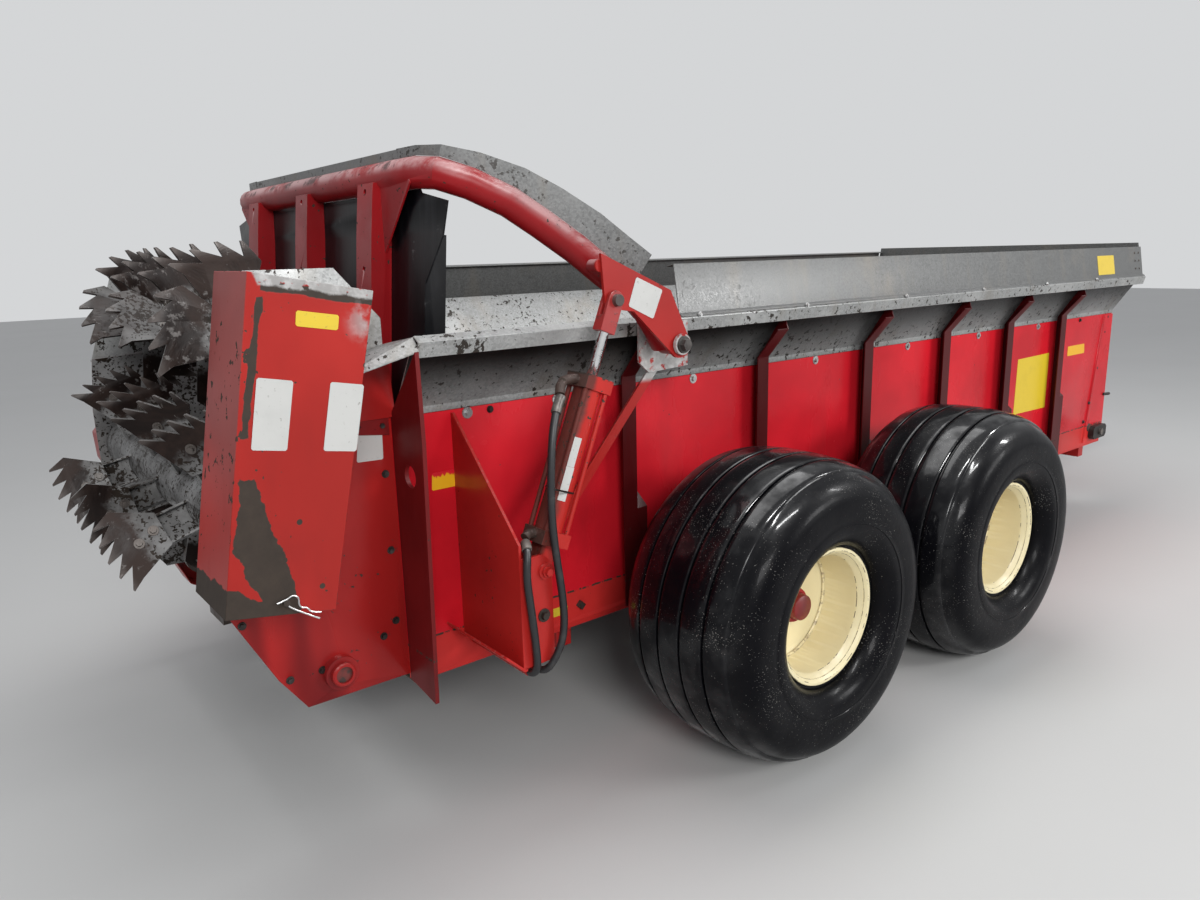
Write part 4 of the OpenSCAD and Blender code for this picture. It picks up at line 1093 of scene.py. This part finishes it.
# The tyre's grooves as (middle, half width, depth), measured out from its middle, and its shoulder's step
TREAD_GROOVES = [(0.046, 0.0042, 0.010), (0.134, 0.0042, 0.010)]
SHOULDER_OUT = 0.206
SHOULDER_DEEP = 0.0090

# The tyre's wall: where it is widest, its lettering band, and the rim's bead, flange and half width
WIDEST_R = 0.345
BAND_R = 0.330
BAND_OUT = 0.2728
BEAD_R = 0.2052
FLANGE_R = 0.2265
RIM_HALF = 0.200


def tyre_radius(out):
    """Radius of the smooth carcass at a distance out from the tyre's middle."""
    power = 2.9
    return WIDEST_R + (TYRE_R - 0.0005 - WIDEST_R) * (1 - (out / TYRE_HALF) ** power) ** (1 / power)


def tyre_profile():
    """Half of the tyre's section, from the tread's middle out and down to the bead."""
    tread = [(0.0, 0.0), (0.02, 0.0)]
    for place, wide, deep in TREAD_GROOVES:
        near, far = place - wide, place + wide
        tread += [(near - 0.010, 0.0), (near - 0.003, 0.0004), (near, 0.0022), (place - wide * 0.7, deep),
                  (place + wide * 0.7, deep), (far, 0.0022), (far + 0.003, 0.0004), (far + 0.010, 0.0)]
    tread += [(0.165, 0.0), (0.180, 0.0), (0.192, 0.0), (SHOULDER_OUT - 0.005, 0.0003),
              (SHOULDER_OUT - 0.001, 0.0022), (SHOULDER_OUT + 0.001, 0.0082),
              (SHOULDER_OUT + 0.006, SHOULDER_DEEP)]
    section = [(tyre_radius(out) - drop, out) for out, drop in tread]
    start, steps = SHOULDER_OUT + 0.006, 14
    for i in range(1, steps + 1):
        out = start + (TYRE_HALF - start) * math.sin(math.radians(90 * i / steps))
        section.append((tyre_radius(min(out, TYRE_HALF - 1e-6)) - SHOULDER_DEEP * (1 - i / steps), out))
    section += [(BAND_R, BAND_OUT), (0.318, 0.2715), (0.3165, 0.2722), (0.313, 0.2722), (0.3115, 0.2700)]
    deep, wide, steps = BAND_R - FLANGE_R - 0.006, BAND_OUT - RIM_HALF, 12
    for i in range(3, steps):
        turn = math.radians(90 * i / steps)
        section.append((BAND_R - deep * math.sin(turn), RIM_HALF + 0.004 + wide * math.cos(turn)))
    section += [(FLANGE_R + 0.0065, RIM_HALF + 0.007), (FLANGE_R, RIM_HALF + 0.004), (FLANGE_R, RIM_HALF),
                (BEAD_R, RIM_HALF)]
    return section


def side_of(wheel):
    """-1 for a wheel on the right, 1 for one on the left."""
    return SIDES[wheel.split("_")[1]]


def make_tyre(wheel, finish):
    """A ribbed implement tyre with round shoulders."""
    outer = tyre_profile()
    inner = [(r, -out) for r, out in reversed(outer)]
    centre = joint_place["spin_" + wheel]
    mesh = lathe("tyre_skin_" + wheel, centre, side_of(wheel), inner[:-1] + outer, 120, 34)
    add_piece(mesh, "wheel_" + wheel, finish, ["tyre_" + wheel])


# Rings on the wheel, as profiles of (radius, outwards from the wheel's middle)
HUB_RING = [(0.0445, 0.0775), (0.0555, 0.0775), (0.0555, 0.0835), (0.0535, 0.0850), (0.0465, 0.0850),
            (0.0445, 0.0835)]
DISC_WELD = [(0.1890, 0.0445), (0.1935, 0.0445), (0.1935, 0.0500), (0.1915, 0.0485)]


def wheel_trim(wheel, finishes):
    """Valve, hub ring and disc weld of one wheel."""
    side = side_of(wheel)
    centre = joint_place["spin_" + wheel]
    facing = Vector((0, side, 0))
    body = "wheel_" + wheel
    foot = centre + Vector((-0.118, side * 0.034, -0.098))
    line = [foot, foot + facing * 0.020, foot + facing * 0.034 + UP * 0.008,
            foot + facing * 0.046 + UP * 0.016]
    add_piece(bent_bar("valve_" + wheel, line, 0.0055), body, finishes["hose"])
    ring = lathe("hub_ring_" + wheel, centre, side, HUB_RING, 48, 30)
    add_piece(ring, body, finishes["hub"])
    weld = lathe("disc_weld_" + wheel, centre, side, DISC_WELD, 72, 40)
    add_piece(weld, body, finishes["cream"])


# Hoses from the cylinder's ports to the pipe ends: forward, out and up from the base pin, in mm
HOSE_ROUTES = {
    "top_hose": [
        (83, 26, 482), (66, 32, 460), (45, 44, 428), (25, 57, 378), (13, 64, 306), (9, 65, 242),
        (8, 65, 176), (11, 65, 119), (18, 65, 50), (28, 65, -21), (37, 65, -93), (39, 65, -154),
        (34, 62, -205), (18, 59, -244), (0, 52, -276), (-12, 40, -296), (-17, 18, -304), (-17, 4, -304)],
    "low_hose": [
        (-48, 14, 86), (-56, 30, 84), (-64, 46, 70), (-72, 54, 40), (-75, 54, 0), (-70, 54, -50),
        (-63, 54, -112), (-57, 54, -172), (-53, 54, -223), (-50, 52, -262), (-48, 40, -292),
        (-47, 18, -304), (-47, 4, -304)],
}
MM = 1 / 1000
HOSE_R = 0.011
CRIMP_THICK = 0.0035


def make_hoses(finishes):
    """Each hose runs in a bent line between the box and the barrel that it feeds, and has a crimp at its port."""
    for side_name, side in SIDES.items():
        for name, route in HOSE_ROUTES.items():
            line = [at(BASE.x + x * MM, side * (CYL_OUT + y * MM), BASE.z + z * MM) for x, y, z in route]
            mesh = bent_bar("%s_%s" % (name, side_name), line, HOSE_R, 3)
            stands_for = ["hoses_" + side_name] if name == "top_hose" else []
            hose = add_piece(mesh, None, finishes["hose"], stands_for)
            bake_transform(hose)
            crimp_line = [line[0] + (line[0] - line[1]) * 0.02, line[0].lerp(line[1], 0.5), line[1],
                          line[1].lerp(line[2], 0.6)]
            crimp = bent_bar("%s_crimp_%s" % (name, side_name), crimp_line, HOSE_R + CRIMP_THICK, 3)
            add_piece(crimp, "lift_barrel_" + side_name, finishes["fitting"])


# Blank plates and stickers: name, finish, how far out, outline as (forward, up)
GUARD_STICKER_OUT = GUARD_FACE + 0.0005
PLATES = [
    ("guard_plate", "yellow", GUARD_STICKER_OUT,
     [(-1.996, 1.525), (-1.896, 1.508), (-1.902, 1.473), (-2.001, 1.490)]),
    ("guard_sticker_a", "white", GUARD_STICKER_OUT,
     [(-2.099, 1.383), (-2.018, 1.367), (-2.049, 1.208), (-2.129, 1.222)]),
    ("guard_sticker_b", "white", GUARD_STICKER_OUT,
     [(-1.931, 1.355), (-1.849, 1.339), (-1.883, 1.180), (-1.964, 1.194)]),
    ("sheet_sticker", "white", WALL_FACE,
     [(-1.770, 1.176), (-1.700, 1.176), (-1.703, 1.089), (-1.781, 1.092)]),
    ("stripe_rear", "stripe", WALL_FACE,
     [(-1.556, 1.022), (-1.462, 1.022), (-1.462, 0.970), (-1.560, 0.970)]),
    ("stripe_front", "stripe", WALL_FACE,
     [(2.575, 1.040), (2.790, 1.040), (2.800, 0.984), (2.575, 0.984)]),
    ("side_sign", "sign", WALL_FACE,
     [(1.978, 1.021), (2.340, 1.025), (2.340, 0.714), (1.971, 0.720)]),
    ("board_plate", "yellow", None,
     [(2.525, 1.552), (2.741, 1.552), (2.741, 1.448), (2.525, 1.448)]),
    ("arm_sticker", "white", ARM_FACE,
     [(-1.015, 1.565), (-0.912, 1.523), (-0.951, 1.440), (-1.047, 1.483)]),
    ("sill_plate", "yellow", WALL_FACE,
     [(-1.156, 0.482), (-1.084, 0.481), (-1.085, 0.451), (-1.157, 0.452)]),
]
RIGHT_ONLY = ("guard_plate", "guard_sticker_a", "guard_sticker_b", "sheet_sticker")
PLATE_THICK = 0.0006
PLATE_CORNER = 0.004


def make_plates(finishes):
    """The blank plates; the one without a distance out leans with the side board."""
    for name, finish, out, outline in PLATES:
        for side_name, side in SIDES.items():
            if side == 1 and name in RIGHT_ONLY:
                continue
            piece_name = name + "_" + side_name
            if out is None:
                corners = [on_board(x, z, side) for x, z in outline]
                mesh = slab(piece_name, corners, (0, side, BOARD_LEAN), PLATE_THICK, cut=PLATE_CORNER)
            else:
                mesh = side_slab(piece_name, outline, out, side, PLATE_THICK, PLATE_CORNER)
            add_piece(mesh, "gate" if name == "arm_sticker" else "root", finishes[finish])


# Bolts and rivets on each side of the box: how far forward along one line, or as (forward, up)
SEAM_BOLTS = [-1.427, -1.099, -0.487, 0.222, 0.899, 1.536, 2.178]
RAIL_BOLTS = [-0.62, -0.057, 0.602, 1.240, 1.870, 2.46]
RAIL_OUT, RAIL_UP = 0.9333, 1.428
SHEET_BOLTS = [(-1.700, 1.184), (-1.700, 1.046), (-1.702, 0.822), (-1.704, 0.608), (-1.745, 0.571),
               (-2.022, 0.528), (-1.932, 0.528), (-2.128, 0.717), (-1.348, 1.184), (3.075, 1.180),
               (3.050, 1.090), (2.995, 0.875), (2.935, 0.665), (2.880, 0.553), (2.700, 1.184)]
BOARD_RIVETS = [(x, z) for x in (3.040, 3.095) for z in (1.470, 1.515, 1.560)]
SILL_BOLT = (-1.033, 0.468)


def box_bolts(finishes):
    """Seam bolts on pale washers, bolts of the rear and front sheets, board rivets, sill and rail bolts."""
    nut, black, pale = finishes["nut"], finishes["black"], finishes["washer"]
    for side_name, side in SIDES.items():
        facing = (0, side, 0)
        spots = [(on_wall(x, SEAM_UP, side), facing) for x in SEAM_BOLTS]
        bolts("seam_bolts_" + side_name, spots, "root", nut, pale, 0.009, 2.0)
        spots = [(on_wall(x, z, side), facing) for x, z in SHEET_BOLTS]
        bolts("sheet_bolts_" + side_name, spots, "root", black, black, 0.0085, 1.35)
        spots = [(on_board(x, z, side), (0, side, BOARD_LEAN)) for x, z in BOARD_RIVETS]
        stud_piece("board_rivets_" + side_name, spots, 0.007, 0.003, nut, 12, 0.6)
        spots = [(on_wall(SILL_BOLT[0], SILL_BOLT[1], side), facing)]
        stud_piece("sill_bolt_" + side_name, spots, 0.016, 0.016, nut, 4, 0.95)
        spots = [(at(x, side * RAIL_OUT, RAIL_UP), facing) for x in RAIL_BOLTS]
        bolts("rail_bolts_" + side_name, spots, "root", pale, pale, 0.0065)


# Nuts round each lift bracket: name, (forward, out, up), finish, washer's finish, size, and how many
# times its size the washer measures
BRACKET_NUTS = [
    ("bracket_bolt", (-1.408, 1.0935, 0.642), "nut", "nut", 0.013, 1.55),
    ("base_pin_nut", (BASE.x, 1.105, BASE.z), "nut", "bracket", 0.013, 1.3),
    ("hinge_nut", (HINGE.x, 1.0782, HINGE.z), "black", "black", 0.020, 1.35),
]

# Stickers wrapped round each barrel: from and to along it, and how many degrees to either side;
# both have their middle 27 degrees rearwards of straight out
BARREL_STICKERS = [(0.200, 0.298, 23.5), (0.2985, 0.383, 21.0)]
STICKER_TURN = 27
STICKER_INNER, STICKER_OUTER = 0.0403, 0.0409


def lift_trim(finishes):
    """Nuts, stickers and hose tie of the two lift cylinders."""
    for side_name, side in SIDES.items():
        barrel = "lift_barrel_" + side_name
        for name, (x, out, z), finish, washer, size, wide in BRACKET_NUTS:
            spots = [(at(x, side * out, z), (0, side, 0))]
            bolts(name + "_" + side_name, spots, "root", finishes[finish], finishes[washer], size, wide)
        for i, (low, high, half) in enumerate(BARREL_STICKERS):
            mesh = barrel_sticker("cylinder_sticker_%d_%s" % (i, side_name), side, low, high, half)
            add_piece(mesh, barrel, finishes["white"])
        add_piece(hose_tie("hose_tie_" + side_name, side), barrel, finishes["black"])


def barrel_sticker(name, side, low, high, half):
    """A sticker that follows the barrel from low to high along it, half degrees to either side."""
    steps = 6
    points = []
    for i in range(steps + 1):
        turn = math.radians(STICKER_TURN - half + 2 * half * i / steps)
        for radius, along in ((STICKER_INNER, low), (STICKER_OUTER, low), (STICKER_OUTER, high),
                              (STICKER_INNER, high)):
            points.append(on_cylinder(side, along, -radius * math.sin(turn), radius * math.cos(turn)))
    faces = swept_faces(steps + 1, 4, False)
    faces += [(0, 1, 2, 3), tuple(4 * steps + k for k in (3, 2, 1, 0))]
    return mesh_from(name, points, faces, 40)


# The hose tie: how far along the barrel, its thickness and half width, and the circles that it is
# drawn round, the barrel and the hose, as (forward, out, radius)
TIE_ALONG = 0.228
TIE_THICK = 0.0016
TIE_HALF = 0.0025
TIED = [(0.0, 0.0, 0.0405), (-0.076, 0.062, 0.0125)]


def hose_tie(name, side):
    """A flat tie drawn round the barrel and the hose beside it."""
    points, steps = [], 72
    for i in range(steps):
        turn = 2 * math.pi * i / steps
        ahead, outward = math.cos(turn), math.sin(turn)
        forward, out, radius = max(TIED, key=lambda c: c[0] * ahead + c[1] * outward + c[2])
        for lift, rise in ((0.0, -TIE_HALF), (TIE_THICK, -TIE_HALF), (TIE_THICK, TIE_HALF), (0.0, TIE_HALF)):
            reach = radius + lift
            points.append(on_cylinder(side, TIE_ALONG + rise, forward + reach * ahead, out + reach * outward))
    return mesh_from(name, points, swept_faces(steps, 4, True), 50)


# Lines of the clip on the guard's lower edge, as (forward, up), and the head of its pin
CLIP_HOOK = [(-2.112, 0.852), (-2.100, 0.854), (-2.088, 0.856), (-2.078, 0.863), (-2.067, 0.861),
             (-2.059, 0.851), (-2.063, 0.838), (-2.055, 0.825), (-2.045, 0.826), (-2.039, 0.818),
             (-2.033, 0.808), (-2.010, 0.803)]
CLIP_LEG = [(-2.088, 0.856), (-2.092, 0.846), (-2.083, 0.834), (-2.060, 0.818), (-2.016, 0.788)]
CLIP_PIN = (-2.090, 0.848)


def guard_trim(finishes):
    """Hairpin clip and its pin on the guard's lower edge."""
    for name, route in (("clip_hook", CLIP_HOOK), ("clip_leg", CLIP_LEG)):
        line = [at(x, -(GUARD_FACE + 0.008), z) for x, z in route]
        add_piece(bent_bar(name, line, 0.0022, 2), "root", finishes["bright"])
    x, z = CLIP_PIN
    line = [at(x, -(GUARD_FACE + proud), z) for proud in (-0.004, 0.004, 0.013)]
    pin = bent_bar("clip_pin", line, 0.008, 3, smooth_line=False)
    add_piece(pin, "root", finishes["nut"])


# Paddles of each beater: turn about the shaft in degrees, share of the full lean, and place along
# the drum from -1 to 1
FULL_LEAN = 45
LOW_PADDLES = [
    (115, -0.85, 0.85), (113, -0.8, 0.34), (108, 0, -0.13), (112, 0, -0.61), (197, 0.6, 0.54),
    (193, 0, 0.05), (191, 0.5, -0.45), (285, 0.1, 0.42), (285, 0, -0.07), (285, 0, -0.93),
    (15, 0, 0.54), (15, 0, -0.07), (15, 0, 0.93)]
UP_PADDLES = [
    (100, 0.1, 0.68), (108, 0.5, 0.26), (112, 0.6, -0.2), (104, 0.5, -0.65), (166, 0.3, 0.82),
    (164, 1, 0.12), (165, 0.8, -0.45), (290, 0.2, 0.16), (290, 0.2, -0.81), (15, 0.1, 0.68),
    (15, -0.4, -0.27)]

# Bolts of each beater: shaft, paddles, (out from the shaft, sideways) of the bolts on a paddle,
# how far the bolted face is from the paddle's middle, and the faces that have bolts
BEATER_BOLTS = {
    "lower": (LOW_SHAFT, LOW_PADDLES, [(0.200, -0.006), (0.246, 0.010)], 0.0262, (1,)),
    "upper": (UP_SHAFT, UP_PADDLES, [(0.082, -0.016), (0.104, 0.014)], 0.0042, (1, -1)),
}


def turned(local, spin):
    """From a beater's own axes, with its shaft along the third one, to the machine's."""
    x = local.x * math.cos(spin) - local.y * math.sin(spin)
    y = local.x * math.sin(spin) + local.y * math.cos(spin)
    return Vector((x, -local.z, y))


def beater_bolts(finishes):
    """Two bolts through the foot of each toothed paddle."""
    brown = finishes["fitting"]
    for name, (shaft, paddles, holes, face, senses) in BEATER_BOLTS.items():
        spots = []
        middle = at(shaft[0], 0, shaft[1])
        for turn, share, place in paddles:
            tilt, spin = math.radians(share * FULL_LEAN), math.radians(turn)
            for radial, sideways in holes:
                for sense in senses:
                    depth = face * sense
                    local = Vector((radial, sideways * math.cos(tilt) - depth * math.sin(tilt),
                                    sideways * math.sin(tilt) + depth * math.cos(tilt) + place * DRUM_HALF))
                    facing = Vector((0, -math.sin(tilt), math.cos(tilt))) * sense
                    spots.append((middle + turned(local, spin), tuple(turned(facing, spin))))
        bolts(name + "_beater_bolts", spots, name + "_beater", brown, brown, 0.0095)


# Trim at the chain shafts' ends: the ring's profile as (radius, out), the bearing block's outline and
# the hook's line as (forward, up) and (forward, out, up)
SHAFT_RING = [(0.024, 0.789), (0.034, 0.789), (0.034, 0.801), (0.030, 0.804), (0.024, 0.804)]
BEARING_BLOCK = [(2.950, 0.436), (3.132, 0.436), (3.132, 0.516), (2.950, 0.516)]
BLOCK_OUT = WALL_FACE + 0.0002
FRONT_HOOK = [(3.11, 0.775, 0.700), (3.15, 0.777, 0.696), (3.19, 0.779, 0.694)]


def shaft_trim(finishes):
    """Rear bearing rings, and the front bearing blocks, shaft ends and hooks."""
    for side_name, side in SIDES.items():
        centre = at(CHAIN_SHAFT[0], 0, CHAIN_SHAFT[1])
        ring = lathe("chain_shaft_ring_" + side_name, centre, side, SHAFT_RING, 40, 30)
        add_piece(ring, "root", finishes["red"])
        block = side_slab("front_bearing_" + side_name, BEARING_BLOCK, BLOCK_OUT, side, 0.040, 0.018)
        add_piece(block, "root", finishes["black"])
        line = [at(FRONT_SHAFT[0], side * out, FRONT_SHAFT[1]) for out in (0.790, 0.818)]
        stub = bent_bar("front_stub_" + side_name, line, 0.020, 4, smooth_line=False)
        add_piece(stub, "root", finishes["fitting"])
        line = [at(x, side * out, z) for x, out, z in FRONT_HOOK]
        hook = bent_bar("front_hook_" + side_name, line, 0.009, 3)
        add_piece(hook, "root", finishes["black"])


# The bent sheet behind the flare: corners of its pale cap as (forward, out, up), and its upright web
CAP = [(-1.655, 0.905, 1.4290), (-1.672, 0.7720, 1.4060), (-1.900, 0.7720, 1.3450),
       (-1.900, 0.880, 1.3220), (-1.655, 0.934, 1.3950)]
WEB = [(-1.660, 1.205), (-1.672, 1.3995), (-1.900, 1.3385), (-1.900, 1.205)]
WEB_OUT = 0.7715
CAP_THICK = 0.003


def sheet_caps(finishes):
    """The pale flange that slopes from the flare's rear end to the wing, its red web and round bolt."""
    for side_name, side in SIDES.items():
        corners = [at(x, side * out, z) for x, out, z in CAP]
        level = (corners[1] - corners[0]).cross(corners[2] - corners[0]).normalized()
        if level.z < 0:
            level = -level
        cap = slab("sheet_cap_" + side_name, corners, level, CAP_THICK, lift=0.0)
        add_piece(cap, "root", finishes["flare"])
        web = side_slab("sheet_web_" + side_name, WEB, WEB_OUT, side, CAP_THICK)
        add_piece(web, "root", finishes["rear"])
        middle = (corners[0] + corners[1] + corners[2] + corners[3]) / 4 + level * CAP_THICK
        stud_piece("cap_bolt_" + side_name, [(middle, tuple(level))], 0.014, 0.005, finishes["flare"],
                   24, 0.55)


# The machine

WHEELS = both("front") + both("rear")

# The finish of each CAD piece that is dressed; tyres and hoses are made afresh
DRESS = {
    "wall": both("side_wall") + ["front_wall"],
    "rear": both("rear_sheet"),
    "red": ["undercarriage"] + both("walking_beam") + ["tongue", "jack_tube", "drive_case"],
    "bracket": both("lift_bracket"),
    "barrel": both("barrel"),
    "gate": ["gate_frame"],
    "guard": ["chain_guard"],
    "flare": both("flare"),
    "board": both("side_board") + ["front_board"],
    "wing": both("wing"),
    "zinc": ["jack_leg"],
    "shield": ["gate_shield"],
    "low_beater": ["beater_lower"],
    "up_beater": ["beater_upper"],
    "dark": ["floor_chain", "hitch_clevis", "driveline"],
    "sheet": ["gate_sheet"],
    "bare": ["floor_sheet"],
    "shaft": ["floor_chain_shafts"],
    "rod": both("rod"),
    "cream": ["rim_" + wheel for wheel in WHEELS],
}


def make_finishes():
    """All finishes, by the short names that the pieces use."""
    return {
        "red": red_paint("red_paint"),
        "wall": wall_red(),
        "rear": rear_sheet_red(),
        "guard": guard_red(),
        "gate": gate_red(),
        "bracket": bracket_red(),
        "barrel": barrel_red(),
        # In the zinc sheets, under is the grey of the painted shade on their down-facing faces.
        "zinc": zinc_sheet("galvanised"),
        "flare": zinc_sheet("flare_zinc", 0.29, under=0.011, splash=0.6),
        "board": zinc_sheet("board_zinc", 0.118, under=0.12, splash=0.12, streak=0.25, bloom=0.10),
        "wing": zinc_sheet("wing_zinc", 0.30, under=0.2, splash=0.7, painted=wing_foot),
        "shield": zinc_sheet("shield_zinc", 0.17, under=0.2, splash=0.45, bloom=0.3),
        "low_beater": beater_steel("low_beater_steel", LOW_SHAFT, 0.235, 0.335),
        "up_beater": beater_steel("up_beater_steel", UP_SHAFT, 0.125, 0.262),
        "dark": dark_steel("dark_steel"),
        "black": dark_steel("black_iron", (0.012, 0.009, 0.008), 0.50, 0.15),
        "nut": dark_steel("bolt_steel", (0.026, 0.019, 0.015), 0.50, 0.25),
        "fitting": dark_steel("fitting_brown", (0.070, 0.060, 0.054), 0.42),
        "washer": bare_metal("washer_zinc", 0.40, 0.42, 0.35),
        "bright": bare_metal("clip_wire", 0.62, 0.30, 0.05),
        "sheet": black_sheet(),
        "bare": scoured_floor(),
        "shaft": shaft_steel(),
        "rod": rod_metal(),
        "rubber": tyre_rubber(),
        "cream": cream_paint(),
        "hub": red_paint("hub_red", (0.36, 0.016, 0.020), specks=0.3),
        "white": vinyl("white_vinyl", (0.55, 0.55, 0.53)),
        "yellow": vinyl("yellow_vinyl", (0.72, 0.52, 0.035), 0.3),
        "sign": vinyl("sign_yellow", (0.70, 0.50, 0.022), 0.15),
        "stripe": torn_yellow(),
        "hose": hose_cover(),
    }


def make_machine(finishes):
    """All pieces: the dressed CAD pieces first, then the wheels, hoses, plates, bolts and trim."""
    for key, nodes in DRESS.items():
        for node in nodes:
            dressed(node, finishes[key])
    for wheel in WHEELS:
        make_tyre(wheel, finishes["rubber"])
        wheel_trim(wheel, finishes)
    make_hoses(finishes)
    make_plates(finishes)
    box_bolts(finishes)
    lift_trim(finishes)
    guard_trim(finishes)
    beater_bolts(finishes)
    shaft_trim(finishes)
    sheet_caps(finishes)


make_camera()
make_room()
make_lamps()
make_floor(floor_paint())
make_machine(make_finishes())
